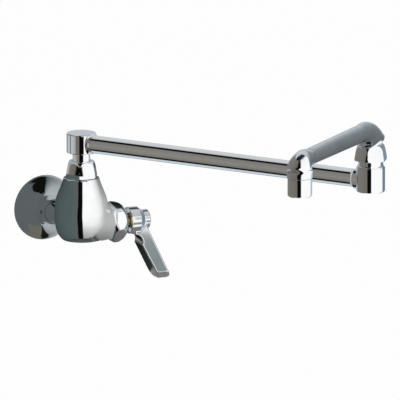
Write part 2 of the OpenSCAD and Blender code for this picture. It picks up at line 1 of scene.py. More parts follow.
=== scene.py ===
# Wall-mounted pot filler with a double-jointed swing spout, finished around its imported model.
# The faucet's lengths are in millimetres and are placed in metres. The studio's are in metres.
# +Z is up and the wall is the plane Y = 0.
import json
import math

import bpy
import numpy as np
from mathutils import Matrix, Vector

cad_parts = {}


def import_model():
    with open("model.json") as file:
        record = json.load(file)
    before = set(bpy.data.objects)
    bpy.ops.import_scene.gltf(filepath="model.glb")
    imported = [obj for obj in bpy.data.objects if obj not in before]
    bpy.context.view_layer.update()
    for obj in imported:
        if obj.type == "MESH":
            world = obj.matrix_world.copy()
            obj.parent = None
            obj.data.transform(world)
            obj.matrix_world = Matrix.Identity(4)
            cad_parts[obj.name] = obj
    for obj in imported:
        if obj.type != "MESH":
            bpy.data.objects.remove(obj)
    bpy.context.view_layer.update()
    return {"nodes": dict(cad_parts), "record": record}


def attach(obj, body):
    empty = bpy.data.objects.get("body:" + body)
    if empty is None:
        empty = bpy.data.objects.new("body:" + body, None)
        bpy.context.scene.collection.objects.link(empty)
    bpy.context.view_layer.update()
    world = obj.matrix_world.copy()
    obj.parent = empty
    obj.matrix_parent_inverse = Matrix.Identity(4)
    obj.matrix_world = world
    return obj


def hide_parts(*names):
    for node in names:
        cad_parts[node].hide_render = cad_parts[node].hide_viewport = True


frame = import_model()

nodes = frame["nodes"]

# ---- sizes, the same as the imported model's but for the end spout's arm ----

MM = 0.001

# The links: how far and how high they reach, and how they lie at rest.
WALL_TO_BODY = 92.0
PIPE_HEIGHT = 84.3
FIRST_REACH = 338.0
SECOND_REACH = 119.0
FIRST_HEADING = -56.0
SPOUT_FOLD = -95.0

# Gaps between pieces that run on each other, sit in each other or pass each other.
RUNNING = 0.05
SEATED = 0.03
APART = 0.3

# The wall flange with its set screw's hole.
FLANGE_R = 33.0
FLANGE_WALL = 1.7
RIM_W = 4.6
RIM_T = 2.6
RIM_WALL = 1.8
COLLAR_R = 13.0
COLLAR_LENGTH = 25.5
SET_SCREW_DEPTH = 21.5
SET_SCREW_R = 2.5

# The inlet shank and its thread behind the wall.
SHANK_R = 10.65
SHANK_BORE_R = 7.5
SHANK_GAP = 0.2
SHANK_TAIL = 18.0
THREAD_R = 10.4
THREAD_ROOT_R = 9.8
THREAD_PITCH = 1.814
THREAD_DEPTH = 0.62

# The cast body: its bulb, valve boss, inlet boss, nipple and bores.
BELLY_R = 27.0
BODY_TOP = 49.0
BODY_DROP = 14.6
BASE_R = 19.3
BASE_FACING = 1.6
SHOULDER_R = 18.0
BOSS_R = 17.0
BOSS_REACH = 29.5
BOSS_FILLET = 9.0
STUB_END = 38.0
INLET_BOSS_R = 14.5
INLET_BOSS_REACH = 32.0
INLET_FILLET = 5.0
SOCKET_FLOOR = 20.0
NIPPLE_FOOT = BODY_TOP + 0.3
PORT_R = 5.5
CHAMBER_R = 10.0
SEAT_RING_R = 8.0
SEAT_RING_DEPTH = 8.0
CAVITY_R = 6.5
CAVITY_DEPTH = 18.0

# The bonnet nut and the cartridge's neck.
BONNET_FLATS = 36.6
BONNET_TURN = -19.0
BONNET_THREAD_R = 14.6
BONNET_SHOULDER = 40.8
BONNET_FRONT = 46.8
BONNET_DOME_R = 13.4
CARTRIDGE_R = 13.2
NECK_R = 7.4

# The lever with its hub.
HUB_BACK = 50.5
HUB_FRONT = 72.5
HUB_STEP = 10.5
HUB_SKIRT_R = 13.5
HUB_BOSS_R = 9.8
HUB_FILLET = 4.6
SQUARE_HALF = 3.55
LEVER_DROP = 61.5
LEVER_ROOT_W = 18.6
LEVER_TIP_W = 24.0
LEVER_LEAN = 22.5
LEVER_T = 11.4
LEVER_CORNER = 8.5
LEVER_FILLET = 8.0

# The two swivels: nut, nipple, post and bearing are the same in both.
NUT_FLATS = 30.4
NUT_H = 17.2
NUT_LEAN = 9.0
NUT_POCKET = 12.9
FIRST_NUT_TURN = -0.5
SECOND_NUT_TURN = 50.5
NIPPLE_R = 12.6
NIPPLE_H = 9.0
POST_R = 8.8
POST_BORE_R = 5.0
POST_DEPTH = 14.0
POST_INSERT = 6.0
JOURNAL_R = 7.9
JOURNAL_DEPTH = 15.0
RING_HEIGHTS = (-10.0, -4.0)
RING_HALF_W = 1.05
RING_GROOVE = 1.7
CLIP_GROOVE = 0.7
CLIP_W = 2.0
BEARING_R = 11.5

# The elbow cap, the first pipe and the second joint's housing.
CAP_R = 15.0
CAP_FOOT = -9.7
CAP_TOP = 10.4
CAP_BOSS_R = 9.6
SOCKET_REACH = 16.0
PIPE_R = 9.0
PIPE_WALL = 1.4
PIPE_START = 9.4
JOINT_R = 14.4
JOINT_FOOT = -11.4
JOINT_SHOULDER = 13.0
JOINT_BOSS_R = 11.2
JOINT_NECK_FILLET = 2.2
FIRST_NUT_FOOT = -35.0
SECOND_NUT_FOOT = 20.5

# The end spout and its outlet.
SPOUT_FOOT = 40.4
FOOT_R = 14.4
ARM_ROOT_R = 9.0
ARM_END_R = 8.3
ARM_END_Z = 41.3
PIVOT_GAP = 0.8
NOZZLE_R = 12.9
NOZZLE_FOOT = 23.1
NOZZLE_THREAD_R = 10.6
OUTLET_LIP_R = 8.9
OUTLET_LIP_T = 1.6
SLEEVE_R = 12.2
SLEEVE_TOP = 22.8
SLEEVE_LENGTH = 18.7

# ---- places: each turns a piece's own axes in millimetres into the model's in metres ----


def shift(x=0.0, y=0.0, z=0.0):
    """A move along the axes."""
    return Matrix.Translation((x, y, z))


def turn(degrees, axis="Z"):
    """A turn about an axis."""
    return Matrix.Rotation(math.radians(degrees), 4, axis)


MODEL = Matrix.Scale(MM, 4)
AT_WALL = MODEL @ turn(90, "X")
AT_BODY = MODEL @ shift(y=-WALL_TO_BODY)
AT_VALVE = AT_BODY @ turn(90, "Y")
AT_FIRST = AT_BODY @ shift(z=PIPE_HEIGHT) @ turn(FIRST_HEADING)
AT_PIPE = AT_FIRST @ turn(90, "Y")
AT_JOINT = AT_FIRST @ shift(x=FIRST_REACH)
AT_SECOND = AT_JOINT @ turn(SPOUT_FOLD)
AT_OUTLET = AT_SECOND @ shift(x=SECOND_REACH)

# ---- node trees ----


class Value:
    """One output of a node tree. Sums and products of values add Math nodes."""

    def __init__(self, graph, socket):
        self.graph = graph
        self.socket = socket

    def maths(self, operation, *operands):
        return self.graph.node("ShaderNodeMath", {"operation": operation}, *operands)

    def __add__(self, other):
        return self.maths("ADD", self, other)

    def __mul__(self, other):
        return self.maths("MULTIPLY", self, other)

    __radd__ = __add__
    __rmul__ = __mul__


class Graph:
    """A shader's or a shape's node tree."""

    def __init__(self, tree):
        self.tree = tree

    def node(self, kind, settings=None, *values, output=0, **named):
        """Adds a node. values fill its inputs in order, named ones by their names with _ for a space.
        output says which of its outputs is given, by place or name, and a tuple asks for several."""
        made = self.tree.nodes.new(kind)
        for key, value in (settings or {}).items():
            setattr(made, key, value)
        for index, value in enumerate(values):
            self.feed(made.inputs[index], value)
        for name, value in named.items():
            self.feed(made.inputs[name.replace("_", " ")], value)
        if isinstance(output, tuple):
            return [Value(self, made.outputs[label]) for label in output]
        return Value(self, made.outputs[output]) if made.outputs else None

    def feed(self, slot, value):
        if value is None:
            return
        if isinstance(value, Value):
            self.tree.links.new(value.socket, slot)
        else:
            slot.default_value = value


def finish_graph(name):
    """A new material and its cleared node tree."""
    material = bpy.data.materials.new(name)
    material.use_nodes = True
    material.node_tree.nodes.clear()
    return material, Graph(material.node_tree)


def close_finish(graph, shader):
    """Ends a material's tree with its shader."""
    graph.node("ShaderNodeOutputMaterial", None, shader)


def noise(graph, place, scale, detail=2.0, roughness=0.5, stretch=None):
    """Noise from 0 to 1 about 0.5, with scale in cells a metre."""
    if stretch:
        place = graph.node("ShaderNodeMapping", None, Vector=place, Scale=stretch)
    return graph.node("ShaderNodeTexNoise", None, Vector=place, Scale=scale, Detail=detail,
                      Roughness=roughness)


def between(graph, value, low, high, to_low, to_high):
    """value taken from low..high to to_low..to_high, and held at those ends."""
    return graph.node("ShaderNodeMapRange", None, value, low, high, to_low, to_high)


def tint(graph, factor, first, second):
    """A colour between two. A Mix node's colours are its inputs 6 and 7 and its output 2."""
    return graph.node("ShaderNodeMix", {"data_type": "RGBA"}, factor, None, None, None, None, None,
                      (*first, 1.0), (*second, 1.0), output=2)


def plate(name, colour, shade, polish, haze, ripple, grain=0.0):
    """Bright plating. polish and haze are its lowest and highest roughness, ripple the depth in
    metres of the buffed casting under it, and grain that of fine buffing lines."""
    material, graph = finish_graph(name)
    place = graph.node("ShaderNodeTexCoord", output="Object")
    cloud = noise(graph, place, scale=38.0, detail=3.0, roughness=0.6)
    smear = noise(graph, place, scale=140.0, detail=4.0, roughness=0.65, stretch=(1.0, 1.0, 0.35))
    spots = graph.node("ShaderNodeTexVoronoi", {"feature": "DISTANCE_TO_EDGE"}, Vector=place, Scale=210.0)
    dull = between(graph, cloud * 0.6 + smear * 0.4, 0.42, 0.68, 0.0, 1.0)
    speck = between(graph, spots, 0.0, 0.08, 1.0, 0.0)
    rough = dull * (haze - polish) + speck * 0.012 + polish
    height = noise(graph, place, scale=62.0, detail=1.0, roughness=0.4) * ripple
    if grain:
        lines = noise(graph, place, scale=900.0, detail=2.0, roughness=0.5, stretch=(1.0, 1.0, 0.06))
        height = height + lines * grain
    normal = graph.node("ShaderNodeBump", None, Strength=1.0, Distance=1.0, Height=height)
    shader = graph.node("ShaderNodeBsdfPrincipled", None, Base_Color=tint(graph, dull, colour, shade),
                        Metallic=1.0, Roughness=rough, Normal=normal)
    close_finish(graph, shader)
    return material


def turned_metal(name, colour, shade, rings, rough):
    """Machined metal with faint tool rings, as left by a lathe. rings sets how close they lie."""
    material, graph = finish_graph(name)
    place = graph.node("ShaderNodeTexCoord", output="Object")
    ridges = graph.node("ShaderNodeTexWave", {"wave_type": "BANDS", "bands_direction": "X"},
                        Vector=place, Scale=rings, Distortion=0.4, Detail=1.0)
    cloud = noise(graph, place, scale=120.0, detail=3.0, roughness=0.6)
    normal = graph.node("ShaderNodeBump", None, Strength=0.25, Distance=0.0001, Height=ridges)
    shader = graph.node("ShaderNodeBsdfPrincipled", None, Base_Color=tint(graph, cloud, colour, shade),
                        Metallic=1.0, Roughness=cloud * 0.12 + ridges * 0.05 + rough, Normal=normal)
    close_finish(graph, shader)
    return material


def moulded(name, colour, shade, rough, pits):
    """Moulded plastic, rubber or pressed fibre with a fine matt texture of pits metres deep."""
    material, graph = finish_graph(name)
    place = graph.node("ShaderNodeTexCoord", output="Object")
    cloud = noise(graph, place, scale=90.0, detail=4.0, roughness=0.6)
    fine = noise(graph, place, scale=1400.0, detail=3.0, roughness=0.6)
    normal = graph.node("ShaderNodeBump", None, Strength=1.0, Distance=1.0, Height=fine * pits)
    shader = graph.node("ShaderNodeBsdfPrincipled", None, Base_Color=tint(graph, cloud, colour, shade),
                        Roughness=cloud * 0.15 + fine * 0.1 + rough, Normal=normal)
    close_finish(graph, shader)
    return material


CHROME = plate("polished_chrome", colour=(0.97, 0.975, 0.98), shade=(0.93, 0.935, 0.945),
               polish=0.02, haze=0.05, ripple=0.000008)
CAST_CHROME = plate("buffed_cast_chrome", colour=(0.98, 0.985, 0.99), shade=(0.87, 0.88, 0.89),
                    polish=0.03, haze=0.07, ripple=0.00004)
SATIN_CHROME = plate("satin_cast_chrome", colour=(0.97, 0.975, 0.98), shade=(0.80, 0.81, 0.825),
                     polish=0.10, haze=0.19, ripple=0.00003, grain=0.000002)
BRASS = turned_metal("turned_brass", colour=(0.50, 0.40, 0.20), shade=(0.38, 0.30, 0.14),
                     rings=700.0, rough=0.18)
STAINLESS = turned_metal("plain_stainless", colour=(0.62, 0.62, 0.61), shade=(0.50, 0.50, 0.50),
                         rings=500.0, rough=0.25)
RUBBER = moulded("black_rubber", colour=(0.022, 0.022, 0.024), shade=(0.04, 0.04, 0.042),
                 rough=0.5, pits=0.00001)
ACETAL = moulded("white_acetal", colour=(0.80, 0.80, 0.77), shade=(0.72, 0.72, 0.68),
                 rough=0.35, pits=0.000006)
FIBRE = moulded("gasket_fibre", colour=(0.30, 0.12, 0.075), shade=(0.22, 0.085, 0.05),
                rough=0.7, pits=0.00002)

# ---- turned pieces ----

# Turned pieces are shaded smooth over corners up to 32 degrees, formed ones over 18.
SMOOTH_CORNER = math.cos(math.radians(32))
CREASE = math.cos(math.radians(18))


def mix(a, b, t):
    """The value a part t of the way from a to b."""
    return a + (b - a) * t


def bow(centre, radius, start, end, steps):
    """Points of an arc, in degrees."""
    return [(centre[0] + radius * math.cos(math.radians(start + (end - start) * i / steps)),
             centre[1] + radius * math.sin(math.radians(start + (end - start) * i / steps)))
            for i in range(steps + 1)]


def flow(a, b, c, d, steps):
    """Points of a cubic curve."""
    points = []
    for i in range(steps + 1):
        t = i / steps
        s = 1 - t
        points.append(tuple(a[k] * s ** 3 + b[k] * 3 * s * s * t + c[k] * 3 * s * t * t + d[k] * t ** 3
                            for k in (0, 1)))
    return points


def eased(corners, steps=6):
    """A closed outline from (x, y, radius) corners, each rounded by its radius."""
    outline = []
    count = len(corners)
    for i, (x, y, radius) in enumerate(corners):
        here = Vector((x, y))
        if radius <= 0:
            outline.append((x, y))
            continue
        back = (Vector(corners[i - 1][:2]) - here).normalized()
        ahead = (Vector(corners[(i + 1) % count][:2]) - here).normalized()
        half = back.angle(ahead) / 2
        reach = radius / math.tan(half)
        centre = here + (back + ahead).normalized() * (radius / math.sin(half))
        first = here + back * reach - centre
        last = here + ahead * reach - centre
        sweep = first.angle_signed(last)
        for k in range(steps + 1):
            spoke = first.copy()
            spoke.rotate(Matrix.Rotation(-sweep * k / steps, 2))
            outline.append(tuple(centre + spoke))
    return outline


def new_piece(name, mesh, body, node, finish):
    """Links a finished mesh that stands for a plated CAD node and rides on its body."""
    piece = bpy.data.objects.new(name, mesh)
    bpy.context.scene.collection.objects.link(piece)
    mesh.materials.clear()
    mesh.materials.append(finish)
    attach(piece, body)
    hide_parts(node)


def with_normals(name, points, faces, normals, place):
    """A smooth mesh whose corner normals are given in the piece's own axes."""
    mesh = bpy.data.meshes.new(name)
    mesh.from_pydata([tuple(p) for p in points], [], faces)
    mesh.transform(place)
    mesh.shade_smooth()
    turned = np.asarray(normals) @ np.array(place.to_3x3().normalized().transposed())
    mesh.normals_split_custom_set(turned.tolist())
    mesh.update()
    return mesh


def turned_mesh(name, outline, place, sides=144):
    """A closed (radius, height) outline turned about its axis."""
    outline = [(max(r, 0.0), z) for r, z in outline]
    area = sum(a[0] * b[1] - b[0] * a[1] for a, b in zip(outline, outline[1:] + outline[:1]))
    if area < 0:
        outline.reverse()
    count = len(outline)
    spans = [Vector(outline[(i + 1) % count]) - Vector(outline[i]) for i in range(count)]
    facing = [Vector((s.y, -s.x)).normalized() if s.length > 1e-9 else Vector((0, 0)) for s in spans]
    start, end = list(facing), list(facing)
    for i in range(count):
        before, after = facing[i - 1], facing[i]
        if before.dot(after) > SMOOTH_CORNER:
            shared = before * spans[i - 1].length ** 2 + after * spans[i].length ** 2
            if shared.length > 0:
                end[i - 1] = start[i] = shared.normalized()
    points, rows = [], []
    for r, z in outline:
        if r < 1e-6:
            rows.append([len(points)] * sides)
            points.append((0.0, 0.0, z))
        else:
            rows.append(range(len(points), len(points) + sides))
            for k in range(sides):
                a = 2 * math.pi * k / sides
                points.append((r * math.cos(a), r * math.sin(a), z))
    faces, normals = [], []
    for i in range(count):
        low, high = rows[i], rows[(i + 1) % count]
        if outline[i][0] < 1e-6 and outline[(i + 1) % count][0] < 1e-6:
            continue
        for k in range(sides):
            j = (k + 1) % sides
            corners = [(low[k], k, start[i]), (low[j], j, start[i]), (high[j], j, end[i]),
                       (high[k], k, end[i])]
            kept = []
            for corner in corners:
                if corner[0] not in [c[0] for c in kept]:
                    kept.append(corner)
            if len(kept) < 3:
                continue
            faces.append([c[0] for c in kept])
            for _, spoke, n in kept:
                a = 2 * math.pi * spoke / sides
                normals.append((n.x * math.cos(a), n.x * math.sin(a), n.y))
    return with_normals(name, points, faces, normals, place)


# ---- cast and machined pieces, each formed from a distance rule: below 0 inside, above 0 outside ----


def outline_distance(outline, x, y):
    """Distance from points to a closed outline, negative inside it."""
    a = np.array(outline)
    b = np.roll(a, -1, axis=0)
    best = np.full(x.shape, 1e18)
    inside = np.zeros(x.shape, bool)
    for (ax, ay), (bx, by) in zip(a, b):
        ex, ey = bx - ax, by - ay
        length = ex * ex + ey * ey
        if length < 1e-12:
            continue
        t = np.clip(((x - ax) * ex + (y - ay) * ey) / length, 0, 1)
        best = np.minimum(best, (x - ax - t * ex) ** 2 + (y - ay - t * ey) ** 2)
        if ay != by:
            crosses = ((ay > y) != (by > y)) & (x < ex * (y - ay) / ey + ax)
            inside ^= crosses
    return np.where(inside, -1, 1) * np.sqrt(best)


def turned_about(axis, outline):
    """A distance rule for an outline turned about Z, X or Y (radius first, then place along the axis)."""
    along = "XYZ".index(axis)
    across = [k for k in range(3) if k != along]

    def rule(p):
        radius = np.hypot(p[:, across[0]], p[:, across[1]])
        return outline_distance(outline, radius, p[:, along])

    return rule


GIRDLE_STEP = 0.02
GIRDLE_SMOOTHING = 0.5


def girdle(axis, outline):
    """A distance rule for a turned piece whose (radius, place) outline only goes forward along its
    axis. Its corners are smoothed over a short way."""
    along = "XYZ".index(axis)
    across = [k for k in range(3) if k != along]
    path = np.array(outline)
    places = np.arange(path[0, 1], path[-1, 1], GIRDLE_STEP)
    radii = np.interp(places, path[:, 1], path[:, 0])
    width = int(GIRDLE_SMOOTHING / GIRDLE_STEP) | 1
    padded = np.pad(radii, width // 2, "reflect", reflect_type="odd")
    window = np.hanning(width + 2)[1:-1]
    radii = np.convolve(padded, window / window.sum(), "valid")
    lean = np.gradient(radii, GIRDLE_STEP)

    def rule(p):
        h = p[:, along]
        gap = np.hypot(p[:, across[0]], p[:, across[1]]) - np.interp(h, places, radii)
        gap = gap / np.sqrt(1 + np.interp(h, places, lean) ** 2)
        return np.maximum(gap, np.maximum(places[0] - h, h - places[-1]))

    return rule


def rod(axis, radius, start, end):
    """A distance rule for a plain round bar along an axis."""
    along = "XYZ".index(axis)
    across = [k for k in range(3) if k != along]

    def rule(p):
        side = np.hypot(p[:, across[0]], p[:, across[1]]) - radius
        ends = np.maximum(start - p[:, along], p[:, along] - end)
        return np.maximum(side, ends)

    return rule


def joined(a, b, fillet):
    """Union with a fillet between the two."""
    h = np.clip(0.5 + 0.5 * (b - a) / fillet, 0, 1)
    return b * (1 - h) + a * h - fillet * h * (1 - h)


def cut(a, b, ease):
    """a with b taken out of it, the edge eased."""
    return -joined(-a, b, ease)


def common(a, b, ease):
    """What a and b share, with its edges eased."""
    return -joined(-a, -b, ease)


def bored(solid, p, *holes):
    """A solid with holes cut out of it, their edges left sharp."""
    for hole in holes:
        solid = np.maximum(solid, -hole(p))
    return solid


SLOPE_STEP = 0.004


def slopes(rule, points):
    """Unit normals of a distance rule."""
    normals = np.zeros_like(points)
    for spoke in ((1, -1, -1), (-1, -1, 1), (-1, 1, -1), (1, 1, 1)):
        normals += np.outer(rule(points + np.array(spoke) * SLOPE_STEP), spoke)
    length = np.linalg.norm(normals, axis=1, keepdims=True)
    return normals / np.maximum(length, 1e-12)


# How many points a rule is asked for at once, how often a crossing is brought closer, and how
# strongly a cell's point is drawn to the middle of its crossings.
POINTS_AT_ONCE = 200000
ROUNDS = 5
PULL_TO_MIDDLE = 0.02


def crossings(rule, grid, depth, k, step):
    """Where the surface crosses the grid lines along axis k: the lines' starts, the points, and
    whether the line leaves the piece there."""
    first, second = [slice(None)] * 3, [slice(None)] * 3
    first[k], second[k] = slice(0, -1), slice(1, None)
    near, far = depth[tuple(first)], depth[tuple(second)]
    starts = np.argwhere((near < 0) != (far < 0))
    inner = [(starts[:, m] > 0) & (starts[:, m] < depth.shape[m] - 1) for m in range(3) if m != k]
    starts = starts[np.all(inner, axis=0)]
    place = tuple(starts.T)
    d0, d1 = near[place], far[place]
    leaves = d0 < 0
    t0, t1 = np.zeros(len(starts)), np.ones(len(starts))
    base = grid[place]
    points = base.copy()
    for _ in range(ROUNDS):
        t = t0 + (t1 - t0) * np.clip(d0 / (d0 - d1), 0.05, 0.95)
        points[:, k] = base[:, k] + t * step
        d = rule(points)
        same = (d < 0) == (d0 < 0)
        t0, d0 = np.where(same, t, t0), np.where(same, d, d0)
        t1, d1 = np.where(same, t1, t), np.where(same, d1, d)
    return starts, points, leaves


def formed_mesh(name, rule, low, high, place, step):
    """The surface where a distance rule is 0, as quads that keep its sharp edges. low and high are
    corners of a box round the piece, and step is the width of a grid cell. Each cell on the surface
    gets the point that fits the planes at its crossings best."""
    axes = [np.arange(lo - 1.5 * step, hi + 2.5 * step, step) for lo, hi in zip(low, high)]
    grid = np.stack(np.meshgrid(*axes, indexing="ij"), -1)
    places = grid.reshape(-1, 3)
    parts = np.array_split(places, max(1, len(places) // POINTS_AT_ONCE))
    depth = np.concatenate([rule(part) for part in parts]).reshape(grid.shape[:3])
    cells = tuple(count - 1 for count in depth.shape)
    total = math.prod(cells)
    sums = np.zeros((16, total))
    quads = []
    for k in range(3):
        starts, points, leaves = crossings(rule, grid, depth, k, step)
        normals = slopes(rule, points)
        planes = np.sum(normals * points, axis=1, keepdims=True)
        products = (normals[:, :, None] * normals[:, None, :]).reshape(-1, 9)
        terms = np.hstack([products, normals * planes, points, np.ones_like(planes)])
        ring = []
        for back in ((0, 0), (1, 0), (1, 1), (0, 1)):
            cell = starts.copy()
            cell[:, (k + 1) % 3] -= back[0]
            cell[:, (k + 2) % 3] -= back[1]
            ring.append(np.ravel_multi_index(tuple(cell.T), cells))
            for row, term in zip(sums, terms.T):
                row += np.bincount(ring[-1], term, total)
        ring = np.stack(ring, axis=1)
        ring[~leaves] = ring[~leaves][:, ::-1]
        quads.append(ring)
    used = np.flatnonzero(sums[-1])
    matrix, sides, middle, hits = np.split(sums[:, used].T, (9, 12, 15), axis=1)
    matrix = matrix.reshape(-1, 3, 3)
    middle = middle / hits
    pull = sides - np.einsum("nij,nj->ni", matrix, middle)
    offset = np.linalg.solve(matrix + np.eye(3) * PULL_TO_MIDDLE, pull[:, :, None])[:, :, 0]
    points = middle + np.clip(offset, -step, step)
    number = np.full(total, -1)
    number[used] = np.arange(len(used))
    quads = number[np.concatenate(quads)]
    at_corners = slopes(rule, points)[quads]
    at_centre = slopes(rule, points[quads].mean(axis=1))[:, None]
    agree = np.sum(at_centre * at_corners, axis=2, keepdims=True) > CREASE
    normals = np.where(agree, at_corners, at_centre)
    return with_normals(name, points, quads.tolist(), normals.reshape(-1, 3), place)


# ---- pieces that a node tree shapes ----


def shape_tree(name, **inputs):
    """A shape's tree with named inputs of given types, their values and their identifiers."""
    tree = bpy.data.node_groups.new(name, "GeometryNodeTree")
    keys = {}
    for label, kind in inputs.items():
        made = tree.interface.new_socket(name=label, in_out="INPUT", socket_type="NodeSocket" + kind)
        keys[label] = made.identifier
    tree.interface.new_socket(name="Geometry", in_out="OUTPUT", socket_type="NodeSocketGeometry")
    graph = Graph(tree)
    given = dict(zip(inputs, graph.node("NodeGroupInput", output=tuple(inputs))))
    return graph, given, keys


def close_shape(graph, skin, finish, smooth):
    """Ends a shape's tree with its instances made real and its finish set."""
    real = graph.node("GeometryNodeRealizeInstances", None, skin)
    shaded = graph.node("GeometryNodeSetShadeSmooth", None, real, Shade_Smooth=smooth)
    dressed = graph.node("GeometryNodeSetMaterial", None, shaded, Material=finish)
    graph.node("NodeGroupOutput", None, dressed)


def shaped_by(graph, inputs, base, name, place):
    """The plain mesh that a shape's tree makes from a base mesh."""
    carrier = bpy.data.objects.new(name + "_carrier", base)
    bpy.context.scene.collection.objects.link(carrier)
    modifier = carrier.modifiers.new("Shape", "NODES")
    modifier.node_group = graph.tree
    for identifier, value in inputs.items():
        modifier[identifier] = value
    ready = carrier.evaluated_get(bpy.context.evaluated_depsgraph_get())
    mesh = bpy.data.meshes.new_from_object(ready)
    mesh.name = name
    mesh.transform(place)
    carrier.modifiers.remove(modifier)
    bpy.data.objects.remove(carrier)
    return mesh


def thread_ridge(name, radius, start, end, place, finish):
    """A screw thread: a ridge that winds along a cylinder, as one mesh."""
    graph, given, keys = shape_tree(name + "_tree", Radius="Float", Length="Float", Turns="Float",
                                    Ridge="Float", Finish="Material")
    helix = graph.node("GeometryNodeCurveSpiral", None, Resolution=48, Rotations=given["Turns"],
                       Start_Radius=given["Radius"], End_Radius=given["Radius"], Height=given["Length"])
    ridge = graph.node("GeometryNodeCurvePrimitiveCircle", None, Resolution=3, Radius=given["Ridge"])
    wound = graph.node("GeometryNodeCurveToMesh", None, helix, ridge, Fill_Caps=True)
    close_shape(graph, wound, given["Finish"], smooth=False)
    inputs = {keys["Radius"]: radius, keys["Length"]: end - start, keys["Ridge"]: THREAD_DEPTH,
              keys["Turns"]: (end - start) / THREAD_PITCH, keys["Finish"]: finish}
    return shaped_by(graph, inputs, bpy.data.meshes.new(name), name, place @ shift(z=start))


def merged(name, meshes):
    """Several meshes as one, with their corner normals kept."""
    points, faces, normals = [], [], []
    for mesh in meshes:
        base = len(points)
        points += [v.co.copy() for v in mesh.vertices]
        faces += [[base + v for v in polygon.vertices] for polygon in mesh.polygons]
        normals += [n.vector.copy() for n in mesh.corner_normals]
    return with_normals(name, points, faces, normals, Matrix.Identity(4))


# ---- wall flange and inlet ----

FLARE_R = FLANGE_R - COLLAR_R - RIM_W
FLARE_CENTRE = (COLLAR_R + FLARE_R, RIM_T + FLARE_R)


def flange_rule():
    """The flange's wall, with the hole for its set screw in the collar."""

    def rule(p):
        r = np.hypot(p[:, 0], p[:, 1])
        z = p[:, 2]
        swept = np.hypot(np.maximum(FLARE_CENTRE[0] - r, 0), np.maximum(FLARE_CENTRE[1] - z, 0))
        outside = common(FLARE_R - swept, r - FLANGE_R, ease=1.6)
        outside = np.maximum(common(outside, z - COLLAR_LENGTH, ease=0.7), -z)
        mouth = np.maximum(r - FLANGE_R + RIM_WALL, z - FLARE_CENTRE[1])
        under = np.maximum(FLARE_R + FLANGE_WALL - swept, mouth)
        hollow = np.minimum(under, r - SHANK_R - SHANK_GAP)
        hole = np.maximum(np.hypot(p[:, 1], z - SET_SCREW_DEPTH) - SET_SCREW_R - SEATED, p[:, 0])
        return cut(cut(outside, hollow, ease=0.3), hole, ease=0.3)

    return rule


flange = formed_mesh("flange", flange_rule(), (-FLANGE_R, -FLANGE_R, 0), (FLANGE_R, FLANGE_R, COLLAR_LENGTH),
                     AT_WALL, step=0.62)
new_piece("flange", flange, "faucet_body", "wall_flange", CAST_CHROME)

shank_end = WALL_TO_BODY - SOCKET_FLOOR - 0.2
shank = turned_mesh("shank", eased([
    (SHANK_BORE_R, -SHANK_TAIL - 1, 0.3), (THREAD_ROOT_R - 1, -SHANK_TAIL - 1, 0.4),
    (THREAD_ROOT_R, -SHANK_TAIL, 0.3), (THREAD_ROOT_R, -0.4, 0.2), (SHANK_R, 0.6, 0.3),
    (SHANK_R, shank_end - 1, 0.4), (SHANK_R - 0.8, shank_end, 0.2), (SHANK_BORE_R, shank_end, 0.2)]), AT_WALL)
shank_thread = thread_ridge("shank_thread", THREAD_R - THREAD_DEPTH, -SHANK_TAIL + 0.6, -0.9, AT_WALL, CHROME)
new_piece("shank", merged("shank", [shank, shank_thread]), "faucet_body", "inlet_shank", CHROME)

# ---- valve body ----


def body_rule():
    """The cast body: a bulb, the valve boss on its side, the inlet boss behind and the spout's nipple."""
    brim = (BELLY_R, 9)
    knee = (BELLY_R - 1.8, 28.5)
    nipple_top = NIPPLE_FOOT + NIPPLE_H
    bulb = girdle("Z", [
        (BASE_R - 0.9, -BODY_DROP), (BASE_R, -BODY_DROP + 0.5),
        *flow((BASE_R, -BODY_DROP + 0.5), (mix(BASE_R, BELLY_R, 0.7), 5 - BODY_DROP), (BELLY_R, -1),
              brim, 60),
        *flow(brim, (BELLY_R, 19), (BELLY_R - 0.6, 24.5), knee, 40),
        *flow(knee, (BELLY_R - 3.2, 33.2), (SHOULDER_R + 1.6, 42.0), (SHOULDER_R, BODY_TOP - 0.9), 40),
        (SHOULDER_R - 0.3, BODY_TOP - 0.3), (SHOULDER_R - 0.9, BODY_TOP)])
    boss = turned_about("X", [
        (0.0, 0.0), (BOSS_R, 0.0), *bow((BOSS_R - 0.6, BOSS_REACH - 0.6), 0.6, 0, 90, 4),
        (BONNET_THREAD_R, BOSS_REACH), (BONNET_THREAD_R, STUB_END - 0.8), (BONNET_THREAD_R - 0.8, STUB_END),
        (0.0, STUB_END)])
    nipple = turned_about("Z", [
        (0.0, BODY_TOP - 2), (NIPPLE_R, BODY_TOP - 2), (NIPPLE_R, nipple_top - 0.8),
        (NIPPLE_R - 0.8, nipple_top), (0.0, nipple_top)])
    inlet = rod("Y", INLET_BOSS_R, 0, INLET_BOSS_REACH)
    facing = rod("Z", BASE_R + BASE_FACING, -2 * BOSS_R, -BODY_DROP)
    socket = rod("Z", JOURNAL_R + RUNNING, NIPPLE_FOOT - JOURNAL_DEPTH, nipple_top + 10)
    port = rod("Z", PORT_R, 0, BODY_TOP)
    chamber = rod("X", CHAMBER_R, -3, STUB_END + 20)
    seat = rod("X", SEAT_RING_R + SEATED, -SEAT_RING_DEPTH, 0)
    cavity = rod("X", CAVITY_R, -CAVITY_DEPTH, 0)
    shank_hole = rod("Y", SHANK_R + SEATED, SOCKET_FLOOR, INLET_BOSS_REACH + 5)

    def rule(p):
        casting = cut(joined(bulb(p), boss(p), BOSS_FILLET), facing(p), ease=0.6)
        casting = joined(casting, inlet(p), INLET_FILLET)
        casting = joined(casting, nipple(p), 0.3)
        return bored(casting, p, socket, port, chamber, seat, cavity, shank_hole)

    return rule


